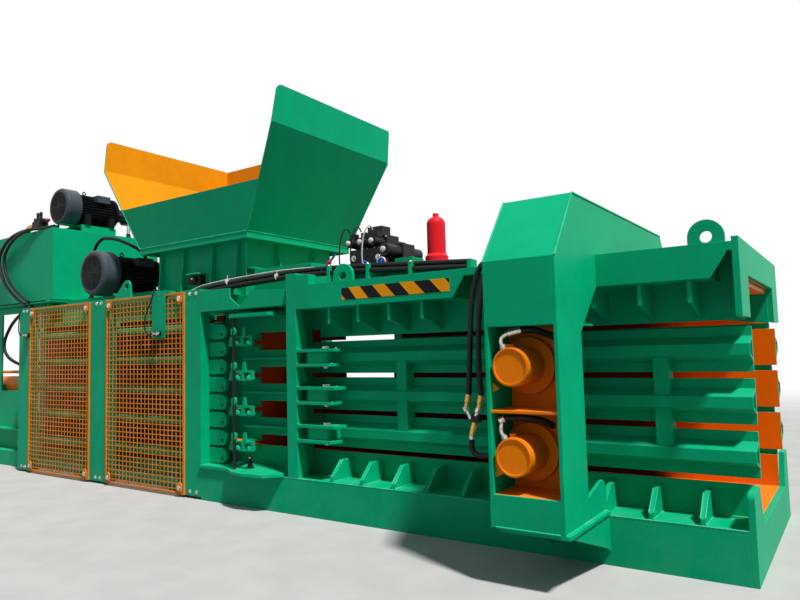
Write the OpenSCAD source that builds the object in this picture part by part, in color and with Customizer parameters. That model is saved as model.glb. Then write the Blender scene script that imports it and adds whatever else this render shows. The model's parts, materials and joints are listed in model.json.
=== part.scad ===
// Horizontal recycling baler: a bale channel with side and top squeeze, a wire tying
// section, a press chamber under a flared hopper, a main ram and a hydraulic power unit.
// Origin: on the ground, under the middle of the hopper and on the channel's centre line.
// +X runs to the bale outlet, +Y to the far side, +Z up. All lengths are millimetres.

/* [Channel] */
// Clear width of the bale channel
channel_w = 1200; // [1050:10:1300]
// Height of the channel floor above the ground
floor_z = 255; // [220:5:275]
// Height of the channel roof's underside above the ground
roof_z = 1665; // [1655:5:1700]
// Height of the lowest wire slot's centre line above the ground
slot_z = 495; // [485:5:510]
// Spacing of the wire slots
slot_pitch = 300; // [290:2:304]
// Height of one wire slot
slot_h = 38; // [24:2:50]
// Thickness of the channel's wall plates
wall_t = 20; // [14:1:26]

/* [Frame] */
// Overall width of the frame
body_w = 1840; // [1780:10:1900]
// How far the end plates at the outlet stand above the channel roof's underside
end_plate_rise = 195; // [180:5:255]
// Distance from the hopper's middle to the outlet's end face
outlet_x = 4830; // [4700:10:5000]
// Thickness of the end plates at the outlet
end_plate_t = 35; // [25:1:50]
// Height of the base beams
base_h = 285; // [276:1:300]
// Height of the top beams' underside
top_beam_z = 1640; // [1625:5:1650]
// Height of the top beams' box section
top_beam_h = 195; // [190:1:204]
// Thickness of the beams' plates
plate_t = 16; // [10:1:20]
// Thickness of the stiffening ribs
rib_t = 25; // [16:1:32]
// Spacing of the stiffening ribs
rib_pitch = 290; // [270:5:300]

/* [Hinge post] */
// Distance from the hopper's middle to the post's centre line
post_x = 1517; // [1500:1:1530]
// Width of the post along the machine
post_w = 108; // [90:2:120]
// Depth of the post across the machine
post_d = 140; // [110:5:160]
// Height of the post's top above the ground
post_top = 1937; // [1890:1:1960]
// Radius of the hinge pins
pin_r = 25; // [18:1:30]

/* [Side wall] */
// Height of a beam's outer strip
hat_top = 66; // [50:2:90]
// Height of a beam's raised part where it meets its plate
hat_foot = 150; // [130:2:180]
// Depth of a beam's raised part
hat_d = 115; // [90:5:125]
// Largest inward swing that the squeeze rods reach
swing_deg = 2.5; // [1:0.1:2.6]

/* [Squeeze frame] */
// Length of the squeeze frame along the machine
squeeze_l = 424; // [400:4:440]
// Distance from the outlet's end face to the squeeze frame
squeeze_gap = 784; // [770:2:800]
// How far the squeeze frame stands out in front of the body
squeeze_out = 662; // [640:2:700]
// How far the squeeze frame stands out behind the body
squeeze_back = 112; // [80:2:130]
// Height of the fold between the hood's front and its slope
fold_z = 1767; // [1740:1:1800]
// Height of the hood's flat top
hood_z = 2155; // [2120:5:2200]
// Thickness of the squeeze frame's two side plates
squeeze_t = 20; // [16:1:26]
// Outer diameter of the squeeze cylinders
squeeze_od = 215; // [190:1:230]
// Outer diameter of the squeeze rods
squeeze_rod_d = 120; // [90:2:130]

/* [Guards] */
// Height of the guard posts
guard_h = 1895; // [1860:5:1915]
// Rows of openings in each mesh panel
mesh_rows = 12; // [8:1:12]
// Columns of openings in each mesh panel
mesh_cols = 10; // [6:1:10]
// Width of a mesh strand
strand_w = 14; // [8:1:20]

/* [Hopper] */
// Length of the hopper's foot flange along the machine
hopper_l = 1620; // [1560:10:1640]
// Width of the hopper's foot flange across the machine
hopper_w = 1464; // [1400:2:1500]
// Height of the hopper's foot flange above the ground
flange_z = 2409; // [2380:1:2440]
// Height of the fold in the end panels
hopper_fold_z = 3296; // [3250:2:3350]
// Height of the hopper's top edge
hopper_top_z = 3640; // [3600:5:3700]
// Height of the low front panel's top edge
hopper_front_z = 2843; // [2700:5:3000]
// How far each end panel leans out between foot and fold
hopper_flare_x = 455; // [400:5:500]
// How far the front and back panels lean out between foot and fold
hopper_flare_y = 129; // [100:1:160]
// Thickness of the hopper's sheet
sheet_t = 10; // [6:1:14]

/* [Ram] */
// Length of the ram's box
ram_l = 1750; // [1650:10:1800]
// Full stroke of the ram
ram_stroke = 1850; // [1700:10:1900]
// Height of the main cylinder's axis
ram_axis_z = 943; // [930:1:950]
// Outer diameter of the main cylinder
main_od = 230; // [210:1:250]
// Diameter of the main piston rod
main_rod_d = 140; // [110:1:150]

/* [Power unit] */
// Length of the oil tank along the machine
tank_l = 1500; // [1300:10:1600]
// Width of the oil tank across the machine
tank_w = 1440; // [1400:10:1500]
// Height of the oil tank's top above the ground
tank_top = 2868; // [2840:2:2900]
// Radius of the upper motor's fan cowl
motor_r = 234; // [225:1:240]
// Radius of the lower motor's fan cowl
low_motor_r = 250; // [240:1:255]
// Number of cooling fins round each motor
fin_count = 36; // [24:4:40]
// Diameter of the hydraulic hoses
hose_d = 38; // [30:1:40]

/* [Hidden] */
$fn = 48;

fit = 0.5;
seat_gap = 0.3;
half_w = body_w / 2;
body_h = roof_z + end_plate_rise;
wall_in = channel_w / 2;
wall_out = wall_in + wall_t;
top_beam_top = top_beam_z + top_beam_h;
plate_x0 = outlet_x - end_plate_t;
post_x0 = post_x - post_w / 2;
post_x1 = post_x + post_w / 2;
post_back = half_w - post_d;
low_wall_top = slot_z - slot_h / 2;
high_wall_z = slot_z + 3 * slot_pitch + slot_h / 2;
beam_half = (slot_pitch - slot_h) / 2;
hat_y = wall_out + hat_d;
squeeze_x1 = outlet_x - squeeze_gap;
squeeze_x0 = squeeze_x1 - squeeze_l;
squeeze_y = half_w + squeeze_out;

// Guard posts and panels stand between the rear frame and the tying section
guard_x = [-2900, -1392, 171];
guard_w = [266, 306, 218];
guard_d = 100;
panel_z = 22;
tying_x0 = guard_x[2] + guard_w[2];
bulkhead_x = guard_x[0];
bulkhead_t = 40;
rear_x = -5600;
roof_t = 20;

function beam_z(i) = slot_z + slot_pitch * (i + 0.5);

// Points of an arc, used where a plate has a rounded corner
function arc(cx, cy, r, a0, a1, n = 8) =
    [for (i = [0:n]) [cx + r * cos(a0 + (a1 - a0) * i / n), cy + r * sin(a0 + (a1 - a0) * i / n)]];

module block(x0, x1, y0, y1, z0, z1) {
    translate([x0, y0, z0]) cube([x1 - x0, y1 - y0, z1 - z0]);
}

// Extrudes a (Y, Z) outline along X
module along_x(x0, x1) {
    translate([x0, 0, 0]) rotate([90, 0, 90]) linear_extrude(x1 - x0) children();
}

// Extrudes an (X, Z) outline along Y
module along_y(y0, y1) {
    translate([0, y1, 0]) rotate([90, 0, 0]) linear_extrude(y1 - y0) children();
}

module along_z(z0, z1) {
    translate([0, 0, z0]) linear_extrude(z1 - z0) children();
}

module rod_y(x, z, r, y0, y1) {
    translate([x, y0, z]) rotate([-90, 0, 0]) cylinder(r = r, h = y1 - y0);
}

module rod_x(y, z, r, x0, x1) {
    translate([x0, y, z]) rotate([0, 90, 0]) cylinder(r = r, h = x1 - x0);
}

module rod_z(x, y, r, z0, z1) {
    translate([x, y, z0]) cylinder(r = r, h = z1 - z0);
}

module hollow_rect(a0, a1, b0, b1, t) {
    difference() {
        translate([a0, b0]) square([a1 - a0, b1 - b0]);
        translate([a0 + t, b0 + t]) square([a1 - a0 - 2 * t, b1 - b0 - 2 * t]);
    }
}

/* Base and floor */

base_rib_lip = 35;
base_rib_top_w = 150;
base_rib_drop = 36;
base_rib_x = concat(
    [for (k = [0:5]) post_x + 388 + rib_pitch * k],
    [for (k = [0:2]) outlet_x - 265 - (rib_pitch - 15) * k]);

module base_rib(x) {
    along_x(x - rib_t / 2, x + rib_t / 2) polygon([
        [-half_w + rib_t, base_h], [-half_w + rib_t, base_h + base_rib_lip],
        [-wall_out - base_rib_top_w, low_wall_top - base_rib_drop],
        [-wall_out, low_wall_top - base_rib_drop], [-wall_out, base_h]]);
}

module base_beam() {
    color("seagreen") {
        along_x(tying_x0, plate_x0) hollow_rect(-half_w, -wall_out, 0, base_h, plate_t);
        block(tying_x0, plate_x0, -wall_out, -wall_in, floor_z, low_wall_top);
        for (x = base_rib_x) base_rib(x);
    }
}

module base_beam_front() { base_beam(); }
module base_beam_rear() { mirror([0, 1, 0]) base_beam(); }

floor_rib_pitch = 620;
module channel_floor() {
    color("orange") {
        block(bulkhead_x + bulkhead_t, plate_x0, -wall_out, wall_out, floor_z - wall_t, floor_z);
        block(bulkhead_x + bulkhead_t, plate_x0, -wall_out, wall_out, 0, plate_t);
        for (x = [bulkhead_x + bulkhead_t : floor_rib_pitch : plate_x0 - floor_rib_pitch / 2])
            block(x, x + plate_t, -wall_out, wall_out, plate_t, floor_z - wall_t);
        block(plate_x0 - plate_t, plate_x0, -wall_out, wall_out, plate_t, floor_z - wall_t);
    }
}

/* Top beams and roof */

top_rib_foot = 42;
top_rib_drop = 130;
top_rib_x = concat(
    [for (k = [0:3]) post_x + 388 + rib_pitch * k], [post_x + 388 + rib_pitch * 5],
    [for (k = [0:2]) outlet_x - 265 - (rib_pitch - 15) * k]);
lip_h = 50;
beam_bevel = [82, 124];
beam_stop = [squeeze_x0 - 579, outlet_x - 151];

module top_rib(x) {
    top = x > beam_stop[0] && x < squeeze_x0 ? top_beam_top - plate_t : top_beam_z;
    along_x(x - rib_t / 2, x + rib_t / 2) polygon([
        [-half_w + 20, top], [-half_w + 20, top_beam_z - top_rib_drop],
        [-half_w + 20 + top_rib_foot, top_beam_z - top_rib_drop],
        [-wall_out, high_wall_z + 20], [-wall_out, top]]);
}

// Box part of a top beam, whose front plate ends in a slope
module top_box(x0, x1) {
    lip_z = top_beam_top - lip_h;
    along_y(-half_w, -half_w + plate_t) polygon([
        [x0, top_beam_z], [x1, top_beam_z], [x1 + beam_bevel[0], top_beam_z + beam_bevel[1]],
        [x1 + beam_bevel[0] + 10, lip_z], [x0, lip_z]]);
    block(x0, x1, -half_w + plate_t, -wall_out, top_beam_z, top_beam_z + plate_t);
    block(x1 - plate_t, x1, -half_w + plate_t, -wall_out, top_beam_z + plate_t,
        top_beam_top - plate_t);
}

module top_beam() {
    color("seagreen") {
        top_box(post_x1, beam_stop[0]);
        top_box(squeeze_x0, beam_stop[1]);
        // Flat top with its lip, and the web down to the slots
        block(post_x1, plate_x0, -half_w, -wall_out, top_beam_top - plate_t, top_beam_top);
        block(post_x1, plate_x0, -half_w, -half_w + plate_t, top_beam_top - lip_h, top_beam_top);
        block(post_x1, plate_x0, -wall_out, -wall_in, high_wall_z, top_beam_top);
        for (x = top_rib_x) top_rib(x);
    }
}

module top_beam_front() { top_beam(); }
module top_beam_rear() { mirror([0, 1, 0]) top_beam(); }

roof_rib_pitch = 536;
top_rod_x = (squeeze_x0 + squeeze_x1) / 2;
top_rod_r = 50;
module channel_roof() {
    color("seagreen") difference() {
        union() {
            block(post_x1, plate_x0, -wall_in, wall_in, roof_z, roof_z + roof_t);
            for (k = [0:5]) let (x = post_x1 + roof_rib_pitch * k)
                if (abs(x - top_rod_x) > squeeze_l / 2)
                    block(x, x + plate_t, -wall_in, wall_in, roof_z + roof_t, top_beam_top - 15);
        }
        rod_z(top_rod_x, 0, top_rod_r + 12, roof_z - 1, roof_z + roof_t + 1);
    }
    // Fixed shaft between the walls, on which the press plate swings
    color("seagreen") rod_y(press_x0, press_z0 + press_t / 2, press_shaft_r, -wall_in, wall_in);
}

/* Outlet end plates */

corner_r = 35;
leg_top = base_h + 200;
leg_in = wall_in + 80;
lower_far_w = half_w - 60;
module outlet_plate_lower() {
    color("seagreen") along_x(plate_x0, outlet_x) polygon(concat(
        [[-half_w, 0]],
        arc(-half_w + corner_r, leg_top - corner_r, corner_r, 180, 90),
        [[-leg_in, leg_top], [-wall_in, floor_z], [wall_in, floor_z], [leg_in, leg_top]],
        arc(lower_far_w - corner_r, leg_top - corner_r, corner_r, 90, 0),
        [[lower_far_w, 0]]));
}

upper_leg_z = high_wall_z + 10;
upper_in = wall_in + 12;
module outlet_plate_upper() {
    color("seagreen") along_x(plate_x0, outlet_x) polygon([
        [-half_w, upper_leg_z], [-half_w, body_h], [half_w, body_h], [half_w, upper_leg_z],
        [upper_in, upper_leg_z], [upper_in, roof_z], [-upper_in, roof_z],
        [-upper_in, upper_leg_z]]);
}

/* Hinge posts, clevis arms and pins */

arm_upper_l = 408;
arm_lower_l = 363;
arm_t = 25;
arm_gap = 92;
arm_d = 130;
arm_slant = 16;
pin_x = post_x1 + 258;
pin_y = -half_w + 70;
lug_t = arm_gap - 2 * fit;

module arm_plate(z, l) {
    difference() {
        along_z(z, z + arm_t) polygon([
            [post_x1, -half_w], [post_x1 + l - arm_slant, -half_w], [post_x1 + l, -half_w + arm_d],
            [post_x1, -half_w + arm_d]]);
        rod_z(pin_x, pin_y, pin_r, z - 1, z + arm_t + 1);
    }
}

post_box_d = 60;
module hinge_post() {
    color("seagreen") {
        along_z(base_h, post_top - 12)
            hollow_rect(post_x0, post_x1, -half_w, -half_w + post_box_d, 12);
        block(post_x0, post_x1, -half_w, -post_back, post_top - 12, post_top);
        // Stepped gussets behind the box, one below each clevis and one on top
        along_x(post_x1 - plate_t, post_x1) {
            for (i = [0:2]) polygon([
                [-half_w + post_box_d, beam_z(i) - arm_gap / 2],
                [-half_w + post_box_d, beam_z(i) - slot_pitch + 95],
                [-post_back, i == 0 ? base_h : beam_z(i) - slot_pitch + 95],
                [-half_w + post_box_d + 15, beam_z(i) - arm_gap / 2]]);
            polygon([
                [-half_w + post_box_d, base_h], [-post_back, base_h],
                [-half_w + post_box_d, beam_z(0) - slot_pitch + 95]]);
            polygon([
                [-half_w + post_box_d, top_beam_z], [-half_w + post_box_d, beam_z(2) + 60],
                [-post_back, beam_z(2) + 60], [-half_w + post_box_d + 10, top_beam_z]]);
        }
        block(post_x0, post_x0 + plate_t, -half_w + post_box_d, -wall_out, base_h, top_beam_top);
        // Cap that laps over the top beam
        block(post_x1, post_x1 + 144, -half_w, -half_w + 90, top_beam_top, post_top - 20);
    }
}

module hinge_post_front() {
    hinge_post();
    color("seagreen") for (i = [0:2]) {
        arm_plate(beam_z(i) - arm_gap / 2 - arm_t, arm_lower_l);
        arm_plate(beam_z(i) + arm_gap / 2, arm_upper_l);
    }
}

module hinge_post_rear() { mirror([0, 1, 0]) hinge_post(); }

module hinge_pins() {
    color("silver") for (i = [0:2]) {
        rod_z(pin_x, pin_y, pin_r - seat_gap, beam_z(i) - arm_gap / 2 - arm_t - 14,
            beam_z(i) + arm_gap / 2 + arm_t);
        translate([pin_x, pin_y, beam_z(i) + arm_gap / 2 + arm_t])
            cylinder(r = pin_r + 9, h = 18, $fn = 6);
    }
}

/* Swinging side wall: three beams on the hinge pins, tied by straps */

wall_x0 = post_x1 + 25;
hat_x0 = pin_x - 82;
hat_slant = 1.43;
hat_sheet = 12;
strap_w = 92;
strap_set = 14;
strap_x = [2462, 4345];
pad_x = squeeze_x0 + 143;
pad_w = 150;
pad_t = 30;
pad_face = hat_y + pad_t;

module hat_outline(z) {
    polygon([[-wall_out, z - hat_foot / 2], [-hat_y, z - hat_top / 2],
             [-hat_y, z + hat_top / 2], [-wall_out, z + hat_foot / 2]]);
}

module hat_section(z) {
    difference() {
        hat_outline(z);
        polygon([[-wall_out, z - hat_foot / 2 + 1.6 * hat_sheet],
                 [-hat_y + hat_sheet, z - hat_top / 2 + 0.6 * hat_sheet],
                 [-hat_y + hat_sheet, z + hat_top / 2 - 0.6 * hat_sheet],
                 [-wall_out, z + hat_foot / 2 - 1.6 * hat_sheet]]);
    }
}

// Keeps a run of the raised part beside its slanted end
module slanted(z, run) {
    lean = hat_slant * hat_foot / 2;
    intersection() {
        along_x(hat_x0 - lean, outlet_x) children();
        along_y(-hat_y - 1, -wall_out + 1) polygon([
            [hat_x0 - lean, z - hat_foot / 2], [hat_x0 - lean + run, z - hat_foot / 2],
            [hat_x0 + lean + run, z + hat_foot / 2], [hat_x0 + lean, z + hat_foot / 2]]);
    }
}

module side_beam(z) {
    color("seagreen") {
        block(wall_x0, outlet_x, -wall_out, -wall_in, z - beam_half, z + beam_half);
        slanted(z, outlet_x) hat_section(z);
        slanted(z, 2 * hat_sheet) hat_outline(z);
    }
}

lug_x0 = pin_x - 189;
lug_r = 38;
// Lug that the hinge pin goes through, seated between two clevis arms
module beam_lug(z) {
    color("seagreen") difference() {
        along_z(z - lug_t / 2, z + lug_t / 2) {
            polygon([
                [lug_x0, -wall_out], [lug_x0, pin_y - lug_r + 18], [lug_x0 + 40, pin_y - lug_r],
                [pin_x, pin_y - lug_r], [pin_x + lug_r, pin_y], [pin_x + lug_r, -wall_out]]);
            translate([pin_x, pin_y]) circle(lug_r);
        }
        rod_z(pin_x, pin_y, pin_r, z - lug_t, z + lug_t);
    }
}

strap_sink = 1;
strap_gap = 0.05;
// Strap between two neighbouring beams: sunk into its own, just clear of the other
module strap(x, w, z_low, gap_low = -strap_sink, gap_high = -strap_sink) {
    slope = (hat_foot - hat_top) / 2 / hat_d;
    reach = hat_d - strap_set;
    z0 = z_low + hat_foot / 2 + gap_low;
    z1 = z_low + slot_pitch - hat_foot / 2 - gap_high;
    color("seagreen") along_x(x - w / 2, x + w / 2) polygon([
        [-wall_out, z0], [-wall_out - reach, z0 - slope * reach],
        [-wall_out - reach, z1 + slope * reach], [-wall_out, z1]]);
}

module side_beam_upper() { side_beam(beam_z(2)); beam_lug(beam_z(2)); }
module side_beam_lower() { side_beam(beam_z(0)); beam_lug(beam_z(0)); }

module side_beam_middle() {
    side_beam(beam_z(1));
    beam_lug(beam_z(1));
    for (x = strap_x) {
        strap(x, strap_w, beam_z(0), gap_low = strap_gap);
        strap(x, strap_w, beam_z(1), gap_high = strap_gap);
    }
    color("seagreen") block(pad_x - pad_w / 2, pad_x + pad_w / 2, -pad_face, -hat_y,
        beam_z(0) - hat_top / 2, beam_z(2) + hat_top / 2);
}

slot_back_t = 8;
// The far wall has the same section and is welded to its post
module side_wall_rear() {
    mirror([0, 1, 0]) {
        for (i = [0:2]) color("seagreen") {
            block(post_x1, outlet_x, -wall_out, -wall_in, beam_z(i) - beam_half, beam_z(i) + beam_half);
            along_x(post_x1, outlet_x) hat_section(beam_z(i));
        }
        for (x = concat([post_x1 + strap_w / 2], strap_x, [pad_x]), z = [beam_z(0), beam_z(1)])
            strap(x, strap_w, z);
        // Strips that back the wire slots
        color("seagreen") for (i = [0:3]) let (z = slot_z + slot_pitch * i)
            block(post_x1, outlet_x - end_plate_t, -wall_out - slot_back_t, -wall_out,
                z - slot_h / 2 - 6, z + slot_h / 2 + 6);
    }
}

/* Squeeze frame and hood */

leg_d = 362;
leg_low_z = 448;
leg_high_z = 1363;
foot_z = base_h + 32;
foot_t = 20;
hood_near = 308;
throat_y = half_w + 2;
far_leg_z = 120;
hood_sheet = 12;

// Outline in (Y, Z) of both side plates: near leg, hood and narrow far leg
module squeeze_outline() {
    polygon([
        [-squeeze_y, foot_z], [-squeeze_y, fold_z], [-squeeze_y + hood_near, hood_z],
        [half_w + squeeze_back - hood_near, hood_z], [half_w + squeeze_back, fold_z],
        [half_w + squeeze_back, far_leg_z], [half_w, far_leg_z], [half_w, top_beam_top],
        [-half_w, top_beam_top], [-throat_y, top_beam_z],
        [-squeeze_y + leg_d, leg_high_z], [-squeeze_y + leg_d, leg_low_z],
        [-throat_y - 78, leg_low_z + 52], [-throat_y - 40, leg_low_z + 52],
        [-throat_y, leg_low_z + 8], [-throat_y, foot_z]]);
}

module squeeze_plate_inlet() {
    color("seagreen") along_x(squeeze_x0, squeeze_x0 + squeeze_t) squeeze_outline();
}

module squeeze_plate_outlet() {
    color("seagreen") along_x(squeeze_x1 - squeeze_t, squeeze_x1) squeeze_outline();
}

window_top = 1402;
window_low = 492;
module hood_cover() {
    s = hood_sheet;
    in = [squeeze_x0 + squeeze_t, squeeze_x1 - squeeze_t];
    color("seagreen") {
        along_x(in[0], in[1]) polygon([
            [-squeeze_y, window_top], [-squeeze_y, fold_z], [-squeeze_y + hood_near, hood_z],
            [half_w + squeeze_back - hood_near, hood_z], [half_w + squeeze_back, fold_z],
            [half_w + squeeze_back, window_low], [half_w + squeeze_back - s, window_low],
            [half_w + squeeze_back - s, fold_z - s / 2],
            [half_w + squeeze_back - hood_near - s / 2, hood_z - s],
            [-squeeze_y + hood_near + s / 2, hood_z - s], [-squeeze_y + s, fold_z - s / 2],
            [-squeeze_y + s, window_top]]);
        block(in[0], in[1], -squeeze_y + s, -half_w - 40, window_top, window_top + s);
    }
}

module squeeze_foot() {
    color("seagreen") {
        // Flange plate under both legs
        block(squeeze_x0 + 52, squeeze_x1 + 22, -squeeze_y, -half_w, foot_z - foot_t, foot_z);
        // Low front plate between the legs
        block(squeeze_x0 + squeeze_t, squeeze_x1 - squeeze_t, -squeeze_y, -squeeze_y + 16,
            foot_z, window_low);
        // Gussets from the base beam up to the flange
        for (x = [squeeze_x0 + 60, squeeze_x1 - 12])
            along_x(x, x + 24) polygon([
                [-squeeze_y + 40, foot_z - foot_t], [-half_w - 50, 110], [-half_w, 80],
                [-half_w, foot_z - foot_t]]);
    }
}

barrel_x = pad_x;
barrel_z = [695, 1181];
mount_y0 = -squeeze_y + 282;
mount_t = 40;
barrel_y0 = -squeeze_y + 12;
barrel_y1 = -half_w - 90;
flange_r = squeeze_od / 2 + 55;
flange_t = 40;
barrel_wall = 22;
rod_tip_y = -pad_face - fit;
rod_ball = squeeze_rod_d / 2;

module cylinder_mount() {
    x0 = squeeze_x0 + squeeze_t;
    x1 = squeeze_x1 - squeeze_t;
    color("darkorange") {
        difference() {
            block(x0, x1, mount_y0, mount_y0 + mount_t, window_low, window_top);
            for (z = barrel_z) rod_y(barrel_x, z, squeeze_od / 2 + fit, mount_y0 - 1, mount_y0 + mount_t + 1);
        }
        // Shelf between the two cylinders and floor under the lower one
        block(x0, x1, -squeeze_y + 10, mount_y0, (barrel_z[0] + barrel_z[1]) / 2 - 8,
            (barrel_z[0] + barrel_z[1]) / 2 + 8);
        block(x0, x1, -squeeze_y + 16, mount_y0, window_low - 16, window_low);
        block(x0, x1, mount_y0, mount_y0 + mount_t, foot_z, window_low);
    }
}

module squeeze_barrels() {
    color("orange") for (z = barrel_z) {
        difference() {
            union() {
                rod_y(barrel_x, z, squeeze_od / 2, barrel_y0, barrel_y1);
                intersection() {
                    rod_y(barrel_x, z, flange_r, mount_y0 - flange_t, mount_y0);
                    block(squeeze_x0 + squeeze_t, squeeze_x1 - squeeze_t, mount_y0 - flange_t, mount_y0,
                        window_low, window_top);
                }
            }
            rod_y(barrel_x, z, squeeze_od / 2 - barrel_wall, barrel_y0 + 30, barrel_y1 - 40);
            rod_y(barrel_x, z, rod_ball + fit, barrel_y1 - 41, barrel_y1 + 1);
        }
        // Raised lip round the end cap, port boss and side bracket
        difference() {
            rod_y(barrel_x, z, squeeze_od / 2 - 6, barrel_y0 - 6, barrel_y0);
            rod_y(barrel_x, z, squeeze_od / 2 - 14, barrel_y0 - 7, barrel_y0 + 1);
        }
        rod_z(barrel_x - 18, barrel_y0 + 46, 20, z + squeeze_od / 2 - 8, z + squeeze_od / 2 + 16);
    }
}

module squeeze_rods() {
    color("gainsboro") for (z = barrel_z) {
        rod_y(barrel_x, z, rod_ball, barrel_y0 + 200, rod_tip_y - rod_ball);
        translate([barrel_x, rod_tip_y - rod_ball, z]) sphere(r = rod_ball);
        rod_y(barrel_x, z, squeeze_od / 2 - barrel_wall - fit, barrel_y0 + 150, barrel_y0 + 200);
    }
}

top_barrel_r = 100;
press_t = 30;
press_shaft_r = 10;
press_top = roof_z - 6;
press_z0 = press_top - press_t;
press_x0 = post_x1 + 60;

module top_barrel() {
    z0 = top_beam_top - 90;
    color("orange") {
        difference() {
            rod_z(top_rod_x, 0, top_barrel_r, z0, hood_z - 60);
            rod_z(top_rod_x, 0, top_barrel_r - barrel_wall, z0 + 40, hood_z - 90);
            rod_z(top_rod_x, 0, top_rod_r + fit, z0 - 1, z0 + 41);
        }
        // Cross plate that carries the barrel between the side plates
        difference() {
            block(squeeze_x0 + squeeze_t, squeeze_x1 - squeeze_t, -260, 260,
                top_beam_top + 60, top_beam_top + 90);
            rod_z(top_rod_x, 0, top_barrel_r - 1, top_beam_top, top_beam_top + 100);
        }
    }
}

module top_rod() {
    color("gainsboro") {
        rod_z(top_rod_x, 0, top_rod_r, press_top + top_rod_r + fit, top_beam_top + 60);
        translate([top_rod_x, 0, press_top + top_rod_r + fit]) sphere(r = top_rod_r);
        rod_z(top_rod_x, 0, top_barrel_r - barrel_wall - fit, top_beam_top + 60, top_beam_top + 110);
    }
}

// Hinged plate under the roof that squeezes the bale from above
module top_press_plate() {
    color("orange") {
        difference() {
            union() {
                block(press_x0, plate_x0 - 12, -wall_in + 10, wall_in - 10, press_z0, press_top);
                rod_y(press_x0, press_z0 + press_t / 2, press_t / 2, -wall_in + 10, wall_in - 10);
            }
            rod_y(press_x0, press_z0 + press_t / 2, press_shaft_r + seat_gap, -wall_in, wall_in);
        }
    }
}

/* Tying section */

tying_window_x = 840;
tying_window_h = 150;
module tying_wall() {
    strip = (slot_pitch - tying_window_h) / 2;
    color("seagreen") {
        // Wide windows at the wires' paths, narrowing to slots beside the guard post
        for (i = [0:2]) {
            block(tying_x0, tying_window_x, -wall_out, -wall_in, beam_z(i) - beam_half,
                beam_z(i) + beam_half);
            block(tying_window_x, post_x0, -wall_out, -wall_in, beam_z(i) - strip, beam_z(i) + strip);
            block(post_x0, post_x1, -wall_out, -wall_in, beam_z(i) - beam_half, beam_z(i) + beam_half);
            // Guide bar along each strip, chamfered at its outlet end
            along_z(beam_z(i) - 11, beam_z(i) + 11) polygon([
                [tying_window_x - 150, -wall_out], [tying_window_x - 150, -wall_out - 70],
                [post_x0 - 250, -wall_out - 70], [post_x0 - 60, -wall_out - 20],
                [post_x0 - 60, -wall_out]]);
        }
        block(tying_x0, tying_window_x, -wall_out, -wall_in, high_wall_z, top_beam_top);
        block(tying_window_x, post_x1, -wall_out, -wall_in, high_wall_z + tying_window_h / 2 - 10,
            top_beam_top);
        // Closed end of the wire slots beside the guard post
        for (i = [0:3]) let (z = slot_z + slot_pitch * i)
            block(tying_x0, tying_x0 + 120, -wall_out, -wall_in, z - slot_h / 2, z + slot_h / 2);
    }
}

module tying_wall_front() { tying_wall(); }
module tying_wall_rear() { mirror([0, 1, 0]) tying_wall(); }

header_z0 = 1682;
module tying_header() {
    color("seagreen") {
        // Header plate with its notch, between the guard post and the hinge post
        along_y(-half_w, -half_w + plate_t) polygon([
            [tying_x0, header_z0], [tying_x0, guard_h - 20], [776, guard_h - 20], [782, 1790],
            [905, 1700], [1061, top_beam_top], [post_x0, top_beam_top - 20],
            [post_x0 - 45, header_z0]]);
        block(tying_x0, post_x0 - 45, -half_w + plate_t, -wall_out, header_z0, header_z0 + plate_t);
        // Arrow shaped bracket plates above and below the wire guides
        along_z(header_z0 - 76, header_z0 - 44) polygon([
            [810, -half_w - 35], [720, -half_w + 60], [720, -wall_out], [1310, -wall_out],
            [1310, -half_w + 20], [1280, -half_w - 35]]);
        along_z(base_h, base_h + 26) polygon([
            [tying_x0, -half_w - 20], [tying_x0, -wall_out], [1084, -wall_out - 55],
            [1420, -half_w], [1295, -half_w - 125], [1075, -half_w - 155], [915, -half_w - 120],
            [740, -half_w - 20]]);
    }
}

lug_pitch = 0.53 * slot_pitch;
lug_z0 = slot_z - 109;
lug_h = lug_pitch - 24;
lug_y = -half_w + guard_d;
lug_plate_t = 28;
lug_tip_x = tying_x0 + 230;
// Row of flat lugs that starts behind the guard post
module lug_row() {
    round_x = lug_tip_x - lug_h / 2;
    color("seagreen") {
        for (k = [0:7]) let (z = lug_z0 + lug_pitch * k) difference() {
            along_y(lug_y, lug_y + lug_plate_t) {
                translate([tying_x0 - 40, z - lug_h / 2]) square([round_x - tying_x0 + 40, lug_h]);
                translate([round_x, z]) circle(lug_h / 2);
            }
            rod_y(lug_tip_x - 60, z - 25, 15, lug_y - 1, lug_y + lug_plate_t + 1);
        }
        // Back plate that the lugs are welded to
        block(tying_x0, tying_x0 + 40, lug_y + lug_plate_t, -wall_out, lug_z0 - lug_h / 2,
            lug_z0 + 7 * lug_pitch + lug_h / 2);
    }
}

guide_x0 = 757;
guide_w = 290;
guide_y = -half_w + 10;
guide_low = 36;
guide_high = 52;
dome_r = 40;

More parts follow.
